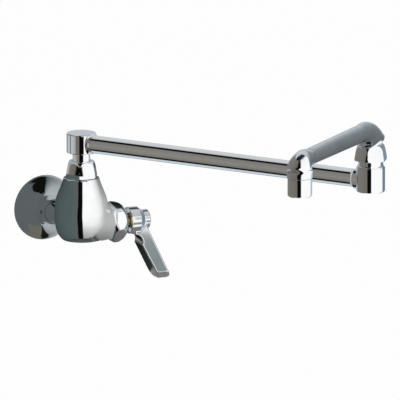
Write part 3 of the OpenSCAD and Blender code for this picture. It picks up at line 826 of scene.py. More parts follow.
body = formed_mesh("cast_body", body_rule(), (-BELLY_R, -BELLY_R, -BODY_DROP),
                   (STUB_END, INLET_BOSS_REACH, NIPPLE_FOOT + NIPPLE_H), AT_BODY, step=0.75)
new_piece("cast_body", body, "faucet_body", "valve_body", CAST_CHROME)

# ---- hexagon nuts ----


def hexagon(p, flats, phase, lean=0.0):
    """Distance to a hexagon about Z with a corner at the phase angle, whose flats lean in by lean degrees."""
    best = np.full(len(p), -np.inf)
    for side in range(6):
        a = math.radians(phase + 30 + 60 * side)
        out = p[:, 0] * math.cos(a) + p[:, 1] * math.sin(a) - flats / 2
        best = np.maximum(best, out * math.cos(math.radians(lean)) + p[:, 2] * math.sin(math.radians(lean)))
    return best


def corner_radius(flats):
    """How far a hexagon's corners reach, by its width over the flats."""
    return flats / 2 / math.cos(math.pi / 6)


def bonnet_rule():
    """The bonnet nut about Z: a hexagon with a chamfered back and a domed front."""
    corner_r = corner_radius(BONNET_FLATS)
    back = BOSS_REACH + 0.2
    envelope = girdle("Z", [
        (BOSS_R + 0.6, back), (BOSS_R + 1.0, back + 0.3), (corner_r - 0.2, back + 3.2),
        *bow((corner_r - BONNET_DOME_R, back + 4.2), BONNET_DOME_R, 0, 60, 50),
        (NECK_R + 3.2, BONNET_FRONT - 0.4), (NECK_R + 2.2, BONNET_FRONT)])
    thread = rod("Z", BONNET_THREAD_R + SEATED, back - 5, STUB_END + APART)
    seat = rod("Z", CARTRIDGE_R + SEATED, back - 5, BONNET_SHOULDER)
    mouth = rod("Z", NECK_R + APART, back - 5, BONNET_FRONT + 5)

    def rule(p):
        nut = common(envelope(p), hexagon(p, BONNET_FLATS, BONNET_TURN), ease=0.5)
        return cut(bored(nut, p, thread, seat), mouth(p), ease=0.4)

    return rule


bonnet = formed_mesh("bonnet", bonnet_rule(), (-21.5, -21.5, BOSS_REACH), (21.5, 21.5, BONNET_FRONT),
                     AT_VALVE, step=0.5)
new_piece("bonnet", bonnet, "faucet_body", "bonnet_nut", CHROME)


def spout_nut_rule(phase):
    """A spout nut about Z from its foot: a hexagon whose flats lean in towards a rounded top."""
    corner_r = corner_radius(NUT_FLATS)
    waist = (corner_r - 0.5, 6.0)
    shoulder = (corner_r - 4.6, 15.8)
    envelope = girdle("Z", [
        (corner_r - 1.2, 0.0), *flow((corner_r - 0.9, 0.3), (corner_r, 1.0), (corner_r, 2.6), waist, 16),
        *flow(waist, (corner_r - 1.1, 9.6), (corner_r - 2.6, 13.2), shoulder, 30),
        *flow(shoulder, (corner_r - 5.2, 16.6), (corner_r - 6.0, 17.0), (corner_r - 7.0, NUT_H), 16)])
    nipple = rod("Z", NIPPLE_R + SEATED, -5, NIPPLE_H + 0.6)
    pocket = rod("Z", BEARING_R + SEATED, -5, NUT_POCKET)
    mouth = rod("Z", POST_R + APART, -5, NUT_H + 5)

    def rule(p):
        nut = common(envelope(p), hexagon(p, NUT_FLATS, phase, NUT_LEAN), ease=0.45)
        return cut(bored(nut, p, nipple, pocket), mouth(p), ease=0.3)

    return rule


for label, node, body_name, place, phase in (
        ("first_nut", "body_spout_nut", "faucet_body", AT_BODY @ shift(z=NIPPLE_FOOT), FIRST_NUT_TURN),
        ("second_nut", "joint_spout_nut", "first_arm", AT_JOINT @ shift(z=SECOND_NUT_FOOT), SECOND_NUT_TURN)):
    nut = formed_mesh(label, spout_nut_rule(phase), (-18, -18, 0), (18, 18, NUT_H), place, step=0.45)
    new_piece(label, nut, body_name, node, CHROME)

# ---- swivel posts ----


def post_outline(foot, top):
    """A hollow post with a groove for its clip and two for its o-rings."""
    clip = foot + NIPPLE_H + APART
    outline = [(POST_BORE_R, foot - POST_DEPTH, 0.4), (JOURNAL_R, foot - POST_DEPTH, 0.6)]
    for height in RING_HEIGHTS:
        low, high = foot + height - RING_HALF_W, foot + height + RING_HALF_W
        outline += [(JOURNAL_R, low, 0.1), (JOURNAL_R - RING_GROOVE, low, 0.15),
                    (JOURNAL_R - RING_GROOVE, high, 0.15), (JOURNAL_R, high, 0.1)]
    outline += [(JOURNAL_R, clip, 0.1), (JOURNAL_R - CLIP_GROOVE, clip, 0.1),
                (JOURNAL_R - CLIP_GROOVE, clip + CLIP_W, 0.1), (POST_R, clip + CLIP_W, 0.2),
                (POST_R, top, 0.3), (POST_BORE_R, top, 0.3)]
    return eased(outline, 4)


for label, node, body_name, place, foot, top in (
        ("first_post", "elbow_post", "first_arm", AT_FIRST, FIRST_NUT_FOOT, CAP_FOOT + POST_INSERT),
        ("second_post", "spout_post", "end_arm", AT_SECOND, SECOND_NUT_FOOT, SPOUT_FOOT + POST_INSERT)):
    new_piece(label, turned_mesh(label, post_outline(foot, top), place), body_name, node, CHROME)

# ---- elbow cap, pipe and joint housing ----


def cap_rule():
    """The elbow cap: a round drum with a short boss that takes the pipe."""
    drum = turned_about("Z", [
        (0.0, CAP_FOOT), *bow((CAP_R - 0.9, CAP_FOOT + 0.9), 0.9, -90, 0, 6),
        *bow((CAP_R - 1.5, CAP_TOP - 1.5), 1.5, 0, 84, 8),
        *flow((CAP_R - 1.5, CAP_TOP), (CAP_R - 4, CAP_TOP + 0.05), (5, CAP_TOP), (0.0, CAP_TOP), 8)])
    boss = rod("X", CAP_BOSS_R, 0, SOCKET_REACH)
    post = rod("Z", POST_R + SEATED, CAP_FOOT - 5, CAP_FOOT + POST_INSERT + 0.1)
    well = rod("Z", POST_BORE_R + 1, -4, CAP_FOOT + 15)
    way = rod("X", PIPE_R - PIPE_WALL - 0.2, 0, PIPE_START)
    pipe_hole = rod("X", PIPE_R + SEATED, PIPE_START - 0.1, SOCKET_REACH + 5)

    def rule(p):
        return bored(joined(drum(p), boss(p), 0.9), p, post, well, way, pipe_hole)

    return rule


cap = formed_mesh("elbow", cap_rule(), (-CAP_R, -CAP_R, CAP_FOOT), (SOCKET_REACH, CAP_R, CAP_TOP), AT_FIRST,
                  step=0.55)
new_piece("elbow", cap, "first_arm", "elbow_cap", CHROME)

pipe_end = FIRST_REACH - PIPE_START
pipe = turned_mesh("pipe", eased([
    (PIPE_R - PIPE_WALL, PIPE_START, 0.2), (PIPE_R, PIPE_START, 0.3), (PIPE_R, pipe_end, 0.3),
    (PIPE_R - PIPE_WALL, pipe_end, 0.2)], 3), AT_PIPE)
new_piece("pipe", pipe, "first_arm", "first_pipe", CHROME)


def housing_rule():
    """The second joint's housing: a drum with a pipe socket on its side and a threaded top."""
    neck_foot = SECOND_NUT_FOOT - 4
    top = SECOND_NUT_FOOT + NIPPLE_H
    drum = turned_about("Z", [
        (0.0, JOINT_FOOT), *bow((JOINT_R - 1.5, JOINT_FOOT + 1.5), 1.5, -90, 0, 8),
        *bow((JOINT_R - 0.5, JOINT_SHOULDER), 0.5, 0, 60, 4),
        *bow((NIPPLE_R + JOINT_NECK_FILLET, neck_foot), JOINT_NECK_FILLET, 240, 180, 8),
        (NIPPLE_R, top - 0.8), (NIPPLE_R - 0.8, top), (0.0, top)])
    boss = turned_about("X", [
        (0.0, 0.0), (0.0, -SOCKET_REACH), *bow((JOINT_BOSS_R - 0.7, -SOCKET_REACH + 0.7), 0.7, -90, 0, 5),
        (JOINT_BOSS_R, 0.0)])
    socket = rod("Z", JOURNAL_R + RUNNING, SECOND_NUT_FOOT - JOURNAL_DEPTH, top + 30)
    well = rod("Z", PIPE_R - PIPE_WALL, JOINT_FOOT + 4, SECOND_NUT_FOOT - JOURNAL_DEPTH + 1)
    way = rod("X", PIPE_R - PIPE_WALL - 0.2, -PIPE_START, 0)
    pipe_hole = rod("X", PIPE_R + SEATED, -SOCKET_REACH - 5, 0.1 - PIPE_START)

    def rule(p):
        return bored(joined(drum(p), boss(p), 0.8), p, socket, well, way, pipe_hole)

    return rule


housing = formed_mesh("housing", housing_rule(), (-SOCKET_REACH, -JOINT_R, JOINT_FOOT),
                      (JOINT_R, JOINT_R, SECOND_NUT_FOOT + NIPPLE_H), AT_JOINT, step=0.55)
new_piece("housing", housing, "first_arm", "joint_housing", CHROME)

# ---- end spout and outlet ----


def spout_line():
    """Centre line of the end spout with its radius: over the joint, down the arm, into the nozzle."""
    foot_pivot = (FOOT_R + PIVOT_GAP, SPOUT_FOOT)
    root_z = SPOUT_FOOT + PIVOT_GAP + ARM_ROOT_R
    end_pivot = (SECOND_REACH - NOZZLE_R - PIVOT_GAP, ARM_END_Z - ARM_END_R - PIVOT_GAP)
    line = []

    def ring(pivot, tilt, radius):
        reach = PIVOT_GAP + radius
        a = math.radians(tilt)
        line.append((pivot[0] + reach * math.cos(a), pivot[1] + reach * math.sin(a), radius))

    for u in [i / 40 for i in range(40)]:
        ring(foot_pivot, 180 - 90 * u, mix(FOOT_R, ARM_ROOT_R, u ** 0.8))
    for u in [i / 30 for i in range(30)]:
        x, z = mix(foot_pivot[0], end_pivot[0], u), mix(root_z, ARM_END_Z, u)
        line.append((x, z, mix(ARM_ROOT_R, ARM_END_R, u)))
    for u in [i / 40 for i in range(41)]:
        ring(end_pivot, 90 - 90 * u, mix(ARM_END_R, NOZZLE_R, u ** 1.25))
    x, z, radius = line[-1]
    line += [(x, mix(z, NOZZLE_FOOT + 0.5, k / 4), radius) for k in range(1, 5)]
    line += [(x, NOZZLE_FOOT + 0.15, radius - 0.15), (x, NOZZLE_FOOT, radius - 0.5)]
    return line


def spout_mesh(name, finish):
    """The end spout's skin, swept along its line."""
    line = np.array(spout_line())
    base = bpy.data.meshes.new(name + "_line")
    base.from_pydata([(x, 0.0, z) for x, z, _ in line], [(i, i + 1) for i in range(len(line) - 1)], [])
    base.attributes.new("girth", "FLOAT", "POINT").data.foreach_set("value", line[:, 2])
    graph, given, keys = shape_tree(name + "_tree", Geometry="Geometry", Sides="Int", Finish="Material")
    girth = graph.node("GeometryNodeInputNamedAttribute", {"data_type": "FLOAT"}, "girth")
    path = graph.node("GeometryNodeMeshToCurve", None, given["Geometry"])
    section = graph.node("GeometryNodeCurvePrimitiveCircle", None, Resolution=given["Sides"], Radius=1.0)
    upright = graph.node("GeometryNodeSetCurveNormal", {"mode": "Z_UP"}, path)
    skin = graph.node("GeometryNodeCurveToMesh", None, upright, section, Scale=girth, Fill_Caps=True)
    close_shape(graph, skin, given["Finish"], smooth=True)
    return shaped_by(graph, {keys["Sides"]: 128, keys["Finish"]: finish}, base, name, AT_SECOND)


new_piece("cast_spout", spout_mesh("cast_spout", SATIN_CHROME), "end_arm", "end_spout", SATIN_CHROME)

sleeve_foot = SLEEVE_TOP - SLEEVE_LENGTH
sleeve_bore = NOZZLE_THREAD_R + SEATED
outlet_ring = turned_mesh("outlet_ring", eased([
    (OUTLET_LIP_R, sleeve_foot, 0.4), (SLEEVE_R, sleeve_foot, 2.2), (SLEEVE_R, SLEEVE_TOP, 0.6),
    (sleeve_bore, SLEEVE_TOP, 0.2), (sleeve_bore, sleeve_foot + OUTLET_LIP_T, 0.2),
    (OUTLET_LIP_R, sleeve_foot + OUTLET_LIP_T, 0.3)]), AT_OUTLET)
new_piece("outlet_ring", outlet_ring, "end_arm", "outlet_sleeve", CHROME)

# ---- lever ----


def lever_rule():
    """The lever: a stepped round hub and a blade that leans out and widens to its rounded tip."""
    lean = math.tan(math.radians(LEVER_LEAN))
    root = HUB_BACK + 4.3
    tip = root + LEVER_DROP * lean
    fillet = (root + HUB_SKIRT_R * lean - LEVER_FILLET * math.tan(math.radians(45 - LEVER_LEAN / 2)),
              -HUB_SKIRT_R - LEVER_FILLET)
    side = [(root, 0.0), (root + LEVER_T - 0.5, 0.0),
            *bow((tip + LEVER_T - 2.4, 3.6 - LEVER_DROP), 3.4, 20, -90, 10),
            *bow((tip + 2.4, 1.8 - LEVER_DROP), 1.8, 270, 210, 6),
            *bow(fillet, LEVER_FILLET, -LEVER_LEAN, 90, 14), (fillet[0], -HUB_SKIRT_R + 1.5)]
    half_root = LEVER_ROOT_W / 2
    corner = (LEVER_TIP_W / 2 - LEVER_CORNER, LEVER_CORNER - LEVER_DROP)
    front = [(-half_root, 1.0), (half_root, 1.0), *bow(corner, LEVER_CORNER, 0, -90, 14),
             *bow((-corner[0], corner[1]), LEVER_CORNER, -90, -180, 14)]
    hub = turned_about("X", [
        (0.0, HUB_BACK), *bow((HUB_SKIRT_R - 0.8, HUB_BACK + 0.8), 0.8, -90, 0, 5),
        *bow((HUB_SKIRT_R - 0.5, HUB_BACK + HUB_STEP - 0.5), 0.5, 0, 80, 4),
        *bow((HUB_BOSS_R + HUB_FILLET, HUB_BACK + HUB_STEP + 6), HUB_FILLET, 230, 180, 12),
        *bow((HUB_BOSS_R - 1.3, HUB_FRONT - 1.3), 1.3, 0, 90, 8), (0.0, HUB_FRONT)])
    recess = rod("X", NECK_R + 1.6, HUB_BACK - 5, HUB_BACK + 6)
    bolt = rod("X", 2.3, HUB_BACK, HUB_FRONT)
    well = rod("X", HUB_BOSS_R - 2.6, HUB_FRONT - 5, HUB_FRONT + 5)

    def square(p):
        sides = np.maximum(np.abs(p[:, 1]), np.abs(p[:, 2])) - SQUARE_HALF
        return np.maximum(sides, p[:, 0] - HUB_FRONT + 6.5)

    def rule(p):
        across, along = outline_distance(side, p[:, 0], p[:, 2]), outline_distance(front, p[:, 1], p[:, 2])
        blade = common(across, along, ease=1.7)
        return cut(bored(joined(blade, hub(p), 1.6), p, recess, bolt, square), well(p), ease=0.4)

    return rule


lever = formed_mesh("handle", lever_rule(), (HUB_BACK, -HUB_SKIRT_R, -LEVER_DROP - 0.2),
                    (94, HUB_SKIRT_R, HUB_SKIRT_R), AT_BODY, step=0.5)
new_piece("handle", lever, "lever", "lever_handle", SATIN_CHROME)

button_r = HUB_BOSS_R - 2.7
button = turned_mesh("button", [
    (0.0, HUB_FRONT - 2.5), (button_r, HUB_FRONT - 2.5),
    *bow((button_r - 0.4, HUB_FRONT - 0.5), 0.4, 0, 70, 4),
    *bow((0.0, HUB_FRONT - 29.0), 29.7, 90 - 12.6, 90, 10)], AT_VALVE, 96)
new_piece("button", button, "lever", "index_button", CHROME)

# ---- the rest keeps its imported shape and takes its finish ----

FINISH_OF = {"brass": BRASS, "black_rubber": RUBBER, "acetal": ACETAL, "stainless": STAINLESS,
             "gasket_fibre": FIBRE, "polished_chrome": CHROME}
for row in frame["record"]["subparts"]:
    mesh = nodes[row["node"]].data
    mesh.materials.clear()
    mesh.materials.append(FINISH_OF[row["material_slot"]])

# ---- studio: a pale floor, soft lamps, and cards and sleeves that show in the plating only ----

FLOOR_Z = -1.2
FLOOR_REACH = 60.0
FLOOR_WHITE = 0.95
WORLD_LIGHT = 0.75
LAMP_SIZE = 1.6
LAMP_DISTANCE = 2.5
VIEW_AZIMUTH = -24.5
VIEW_ELEVATION = 12.3
CAMERA_DISTANCE = 17.83
LENS = 1600.0
SENSOR = 36.0
AIM_RIGHT = 0.1189
AIM_UP = 0.0249

# Places in the studio are metres to the right of, nearer than and above the frame's origin, as
# seen from the camera's side. Azimuths count from the camera's side, + to its right.
RIGHT = Vector((math.cos(math.radians(VIEW_AZIMUTH)), math.sin(math.radians(VIEW_AZIMUTH)), 0.0))
NEAR = Vector((math.sin(math.radians(VIEW_AZIMUTH)), -math.cos(math.radians(VIEW_AZIMUTH)), 0.0))
UP = Vector((0.0, 0.0, 1.0))
CENTRE = Vector((0.11, -0.22, 0.03))
ROOM_TOP = 1.6
ROOM_FOOT = -1.1


def stands(place):
    """Where a place's origin stands in the studio, as (right, near)."""
    return place.translation.dot(RIGHT), place.translation.dot(NEAR)


BODY = stands(AT_FIRST)
JOINT = stands(AT_JOINT)
NOZZLE = stands(AT_OUTLET)


def at(right, near, height):
    """A point in the studio."""
    return RIGHT * right + NEAR * near + UP * height


def heading(azimuth, elevation):
    """The way that an azimuth and an elevation in degrees point."""
    a = math.radians(azimuth)
    e = math.radians(elevation)
    return at(math.sin(a) * math.cos(e), math.cos(a) * math.cos(e), math.sin(e))


def round_about(axis, azimuth, reach, height):
    """A point reach from an upright axis."""
    return at(*axis, height) + heading(azimuth, 0) * reach


def tone(red, green=None, blue=None):
    """A colour from its values as displayed, 0 to 255. One value alone is a grey."""
    shown = (red, red if green is None else green, red if blue is None else blue)
    return tuple(v / 255 / 12.92 if v < 10.4 else ((v / 255 + 0.055) / 1.055) ** 2.4 for v in shown)


BLACK = (0.003, 0.003, 0.003)
WHITE = (1.0, 1.0, 1.0)
BROWN_GREY = tone(132, 129, 124)
WARM_GREY = tone(124, 121, 116)
DARK_BROWN = tone(112, 109, 104)
PALE = tone(203, 207, 210)


def ramp(*marks):
    """(place, tone) stops from marks that hold a place and then a tone or its displayed values."""
    return [(place, rest[0] if isinstance(rest[0], tuple) else tone(*rest)) for place, *rest in marks]


def read_off(stops, place):
    """The tone at a place among (place, tone) stops."""
    for (low, first), (high, second) in zip(stops, stops[1:]):
        if place <= high:
            part = max(0.0, (place - low) / (high - low))
            return tuple(mix(a, b, part) for a, b in zip(first, second))
    return stops[-1][1]


def stand(name, mesh, material):
    """Puts a mesh with its material in the studio."""
    mesh.materials.append(material)
    made = bpy.data.objects.new(name, mesh)
    bpy.context.scene.collection.objects.link(made)
    return made


def card(name, rows, faces_to=CENTRE):
    """A card through rows of (point, tone). It glows on the side that faces a point, and is clear
    from behind."""
    points = [point for row in rows for point, _ in row]
    across = len(rows[0])
    quads = [(i * across + k, i * across + k + 1, (i + 1) * across + k + 1, (i + 1) * across + k)
             for i in range(len(rows) - 1) for k in range(across - 1)]
    mesh = bpy.data.meshes.new(name)
    mesh.from_pydata(points, [], quads)
    if sum((faces_to - quad.center).dot(quad.normal) * quad.area for quad in mesh.polygons) < 0:
        mesh.flip_normals()
    layer = mesh.attributes.new("tone", "FLOAT_COLOR", "POINT")
    layer.data.foreach_set("color", [v for row in rows for _, shade in row for v in (*shade, 1.0)])
    material, graph = finish_graph(name)
    shade = graph.node("ShaderNodeAttribute", {"attribute_name": "tone"})
    glow = graph.node("ShaderNodeEmission", None, shade, 1.0)
    clear = graph.node("ShaderNodeBsdfTransparent")
    behind = graph.node("ShaderNodeNewGeometry", output="Backfacing")
    close_finish(graph, graph.node("ShaderNodeMixShader", None, behind, glow, clear))
    made = stand(name, mesh, material)
    made.visible_camera = False
    made.visible_diffuse = False
    made.visible_shadow = False
    made.visible_transmission = False


def panel(name, stations, bands, faces_to=CENTRE):
    """An upright card through (right, near) stations, toned by its (height, tone) bands."""
    card(name, [[(at(*station, z), shade) for station in stations] for z, shade in bands], faces_to)


def bowl(name, centre, reach, azimuths, elevations, tone_at):
    """Part of a sphere round a centre, toned by the way it lies."""
    card(name, [[(centre + heading(a, e) * reach, tone_at(a, e)) for a in azimuths] for e in elevations],
         centre)


def drum(name, axis, reach, rows):
    """A drum round an upright axis, from rows of (height, (azimuth, tone) stops)."""
    middle = at(*axis, (rows[0][0] + rows[-1][0]) / 2)
    card(name, [[(round_about(axis, a, reach, z), shade) for a, shade in stops] for z, stops in rows], middle)


def landing(seen, girth, reach):
    """The angle on a sleeve where light off a bar comes from, by the angle round the bar."""
    a = math.radians(seen)
    out, over = girth * math.cos(a), girth * math.sin(a)
    run = math.sqrt(reach ** 2 - over ** 2) - out
    return math.atan2(over + run * math.sin(2 * a), out + run * math.cos(2 * a))


def sleeve(name, foot, head, reach, girth, stops):
    """A sleeve round a bar of radius girth. Its stops are (angle round the bar, tone), where the
    angle counts from the bar's line nearest the camera, + to the right or upward."""
    foot, head = at(*foot), at(*head)
    axis = (head - foot).normalized()
    view = heading(0, VIEW_ELEVATION)
    front = (view - axis * view.dot(axis)).normalized()
    side = axis.cross(front)
    if side.dot(RIGHT * 0.3 + UP) < 0:
        side.negate()
    between_stops = {a for a in range(-84, 85, 6) if stops[0][0] < a < stops[-1][0]}
    rows = []
    for a in sorted({a for a, _ in stops} | between_stops):
        turned = landing(a, girth, reach)
        out = (front * math.cos(turned) + side * math.sin(turned)) * reach
        rows.append([(foot + out, read_off(stops, a)), (head + out, read_off(stops, a))])
    card(name, rows, (foot + head) / 2)


def floor():
    """A pale floor that shows almost white and takes the faucet's shadow."""
    mesh = bpy.data.meshes.new("studio_floor")
    corners = [(-1, -1), (1, -1), (1, 1), (-1, 1)]
    mesh.from_pydata([(x * FLOOR_REACH, y * FLOOR_REACH, FLOOR_Z) for x, y in corners], [], [(0, 1, 2, 3)])
    material, graph = finish_graph("pale_floor")
    place = graph.node("ShaderNodeTexCoord", output="Object")
    mottle = noise(graph, place, scale=3.0)
    colour = tint(graph, mottle, (0.93, 0.93, 0.925), (0.95, 0.95, 0.945))
    paper = graph.node("ShaderNodeBsdfPrincipled", None, Base_Color=colour, Roughness=0.9)
    seen, glossy = graph.node("ShaderNodeLightPath", output=("Is Camera Ray", "Is Glossy Ray"))
    white = graph.node("ShaderNodeEmission", None, (*WHITE, 1.0), 1.0)
    share = seen.maths("MAXIMUM", seen * FLOOR_WHITE, glossy)
    close_finish(graph, graph.node("ShaderNodeMixShader", None, share, paper, white))
    stand("studio_floor", mesh, material)


def world():
    """Soft light from all round, white where it shows."""
    made = bpy.data.worlds.new("studio")
    made.use_nodes = True
    made.node_tree.nodes.clear()
    graph = Graph(made.node_tree)
    seen, glossy, through = graph.node(
        "ShaderNodeLightPath", output=("Is Camera Ray", "Is Glossy Ray", "Is Transmission Ray"))
    shown = seen.maths("MAXIMUM", seen.maths("MAXIMUM", seen, glossy), through)
    light = graph.node("ShaderNodeBackground", None, (*WHITE, 1.0), WORLD_LIGHT)
    white = graph.node("ShaderNodeBackground", None, (*WHITE, 1.0), 1.0)
    both = graph.node("ShaderNodeMixShader", None, shown, light, white)
    graph.node("ShaderNodeOutputWorld", None, both)
    bpy.context.scene.world = made


def aimed(name, data, place, back):
    """Puts a lamp or a camera at a place, with its back turned to a heading."""
    made = bpy.data.objects.new(name, data)
    made.location = place
    made.rotation_mode = "QUATERNION"
    made.rotation_quaternion = back.to_track_quat("Z", "Y")
    bpy.context.scene.collection.objects.link(made)
    return made


def lamp(name, azimuth, elevation, watts):
    """A soft square lamp aimed at the faucet."""
    data = bpy.data.lights.new(name, "AREA")
    data.shape = "SQUARE"
    data.size = LAMP_SIZE
    data.energy = watts
    out = heading(azimuth, elevation)
    aimed(name, data, CENTRE + out * LAMP_DISTANCE, out).visible_glossy = False


def camera():
    """A very long lens that keeps the valve body left of and below the middle, as the spout reaches right."""
    data = bpy.data.cameras.new("camera")
    data.sensor_width = SENSOR
    data.lens = LENS
    data.clip_start = 0.1
    data.clip_end = 200.0
    back = heading(0, VIEW_ELEVATION)
    aim = AT_BODY.translation + RIGHT * AIM_RIGHT + back.cross(RIGHT) * AIM_UP
    bpy.context.scene.camera = aimed("camera", data, aim + back * CAMERA_DISTANCE, back)


# ---- the room's cards ----


def camera_flag():
    """The dark gap in the studio's walls that the camera looks through, as (elevation, left, right)."""
    edges = [(-72, -25, 22), (-60, -22, 18), (-45, -18, 14), (-30, -15, 10), (-20, -13, 8.5), (-12, -13.5, 7),
             (-4, -15, 4), (4, -16.5, 0), (12, -17.5, -1), (22, -19, 0.5), (31, -21, 0.4), (45, -22, 2),
             (60, -23, 4)]
    far, base, across = 1.5, 0.02, 8
    rows = []
    for elevation, left, right in edges:
        slope = math.tan(math.radians(elevation))
        if slope < 0:
            reach = min(far, (base - ROOM_FOOT) / -slope)
        else:
            reach = far * math.cos(math.radians(elevation))
        rows.append([(round_about(BODY, mix(left, right, i / across), reach, base + reach * slope), BLACK)
                     for i in range(across + 1)])
    card("camera_flag", rows)


def left_card():
    """A tall brown-grey card down the left side, with dark edges."""
    stations = [(-0.36, near) for near in (-0.55, 0.12, 0.24, 0.42, 0.8, 1.25)] + [(-0.29, 1.66)]
    low = [-0.37, -0.37, -0.63, -0.72, -0.75, -0.75, -0.75]
    high = [0.56, 0.60, 0.64, 0.72, 0.8, 0.8, 0.8]
    level = [0.25] * len(stations)

    def row(heights, shade, lift=0.0):
        return [(at(*station, z + lift), shade) for station, z in zip(stations, heights)]

    card("left_card", [row(low, BROWN_GREY), row(level, BROWN_GREY, -0.2), row(level, DARK_BROWN),
                       row(level, BROWN_GREY, 0.2), row(high, BROWN_GREY)])
    card("left_top_edge", [row(high, BLACK), row(high, BLACK, 0.15)])
    card("left_foot_edge", [row(low, BLACK, -0.17), row(low, BLACK)])


def room():
    """The right, back and ceiling cards: blue-grey on the right, pale elsewhere, dark overhead."""
    stations = [(1.2, 0.30), (1.2, 0.22), (1.15, -0.3), (1.05, -0.9), (0.9, -1.7)]
    blue_share = (0.0, 1.0, 1.0, 1.0, 0.7)
    blue = ramp((ROOM_FOOT, 208, 220, 231), (-0.75, 196, 210, 222), (-0.48, 128, 142, 156),
                (0.0, 120, 133, 147), (0.5, 128, 140, 152), (1.0, 158, 168, 177),
                (ROOM_TOP, 180, 188, 194))
    card("right_card", [[(at(*station, z), read_off([(0.0, PALE), (1.0, shade)], part))
                         for station, part in zip(stations, blue_share)] for z, shade in blue])
    grey = tone(190, 196, 201)
    back = [(0.9, -1.7, grey), (0.2, -1.75, grey), (-0.55, -1.6, grey), (-0.9, -0.9, PALE)]
    card("back_card", [[(at(right, near, z), shade) for right, near, shade in back]
                       for z in (ROOM_FOOT, 0.2, ROOM_TOP)])
    ceiling = ramp((-2.0, PALE), (0.3, PALE), (2.0, 180, 187, 192))
    card("ceiling_card", [[(at(right, near, ROOM_TOP), shade) for right, shade in ceiling]
                          for near in (-2.2, 0.0, 2.2)])
    bowl("overhead_card", at(*BODY, 0.02), 1.0, range(-55, 66, 10), range(52, 83, 10),
         lambda a, e: tone(22, 24, 24))


# ---- the cards and sleeves round single pieces ----


def body_drum():
    """Round the valve body: green-grey to the left, a black stripe in front, white fading to grey."""
    reach = 0.040
    foot = -0.056

    def band(height, left, right, *greys):
        """A row of the drum whose black stripe runs from left to right."""
        return height, ramp((-168, 58, 68, 68), (-120, 64, 74, 74), (-85, 74, 84, 84), (-50, 83, 94, 94),
                            (left - 0.6, 90, 97, 96), (left + 0.4, BLACK), (right - 0.4, BLACK), *greys)

    drum("body_card", BODY, reach, [
        band(0.0570, -15.5, 6.0, (7.2, 255), (55, 255), (78, 215), (100, 150), (150, 120)),
        band(0.0480, -12.0, 4.5, (5.7, 255), (48, 255), (76, 218), (98, 150), (150, 116)),
        band(0.0280, -9.5, 3.2, (4.4, 255), (46, 255), (62, 236), (80, 186), (150, 120)),
        band(0.0115, -11.5, 2.6, (3.8, 255), (44, 255), (62, 238), (80, 192), (150, 120)),
        band(0.0020, -10.5, 3.6, (5.0, 240), (34, 246), (56, 232), (76, 190), (150, 118)),
        band(-0.0058, -10.0, 4.2, (5.6, 206), (30, 216), (54, 210), (74, 180), (150, 112)),
        band(-0.0200, -11.5, 6.0, (7.4, 178), (24, 186), (46, 178), (60, 150), (150, 98)),
        band(-0.0330, -12.0, 8.0, (9.4, 166), (30, 176), (48, 168), (56, 60), (150, 92)),
        band(-0.0380, -13.0, 8.0, (9.4, 150), (30, 160), (44, 60), (52, 104), (150, 92)),
        band(foot, -14.0, 9.0, (10.4, 130), (30, 90), (44, 110), (60, 120), (150, 86))])
    rings = ramp((reach + 0.0005, 58, 64, 63), (0.02, 84, 92, 90), (0.001, 70, 76, 75))
    card("base_card", [[(round_about(BODY, a, r, foot), shade) for a in range(-180, 181, 12)]
                       for r, shade in rings], at(*BODY, 0))


def cap_drums():
    """Round the elbow over the body, the nut under it and the post between them."""
    cap = ramp((-172, 178), (-118, 176, 182, 187), (-110, 84), (-104, 190, 195, 199),
               (-90, 196, 201, 205), (-84, 188, 193, 197), (-81, 84, 88, 92), (-76, 84, 86, 90),
               (-73, 186, 190, 194), (-62, 188, 190, 192), (-38, 168, 166, 162), (-36, DARK_BROWN),
               (-14, 116, 113, 107), (-12.4, BLACK), (15, BLACK), (17, WHITE), (84, WHITE),
               (100, 198, 206, 212), (172, 150, 160, 168))
    drum("cap_card", BODY, 0.042, [(0.067, cap), (0.096, cap)])
    nut = ramp((-170, 90, 96, 100), (-76, 170, 174, 176), (-67, 178), (-64.5, 122, 116, 110),
               (-56, 110, 104, 98), (-54.6, 90, 84, 78), (-53.6, BLACK), (30.6, BLACK), (32.4, WHITE),
               (62, WHITE), (100, 90, 104, 118), (170, 64, 76, 88))
    drum("first_nut_card", BODY, 0.036, [(0.0545, nut), (0.067, nut)])
    post = ramp((-88, 150, 156, 160), (-50, 178, 182, 184), (-34, 150, 146, 140), (-14, DARK_BROWN),
                (-12, BLACK), (12, BLACK), (14, WHITE), (50, WHITE), (70, 120, 132, 142),
                (88, 200, 208, 214))
    sleeve("first_post_card", (*BODY, 0.0655), (*BODY, 0.0740), reach=0.0125, girth=POST_R * MM, stops=post)


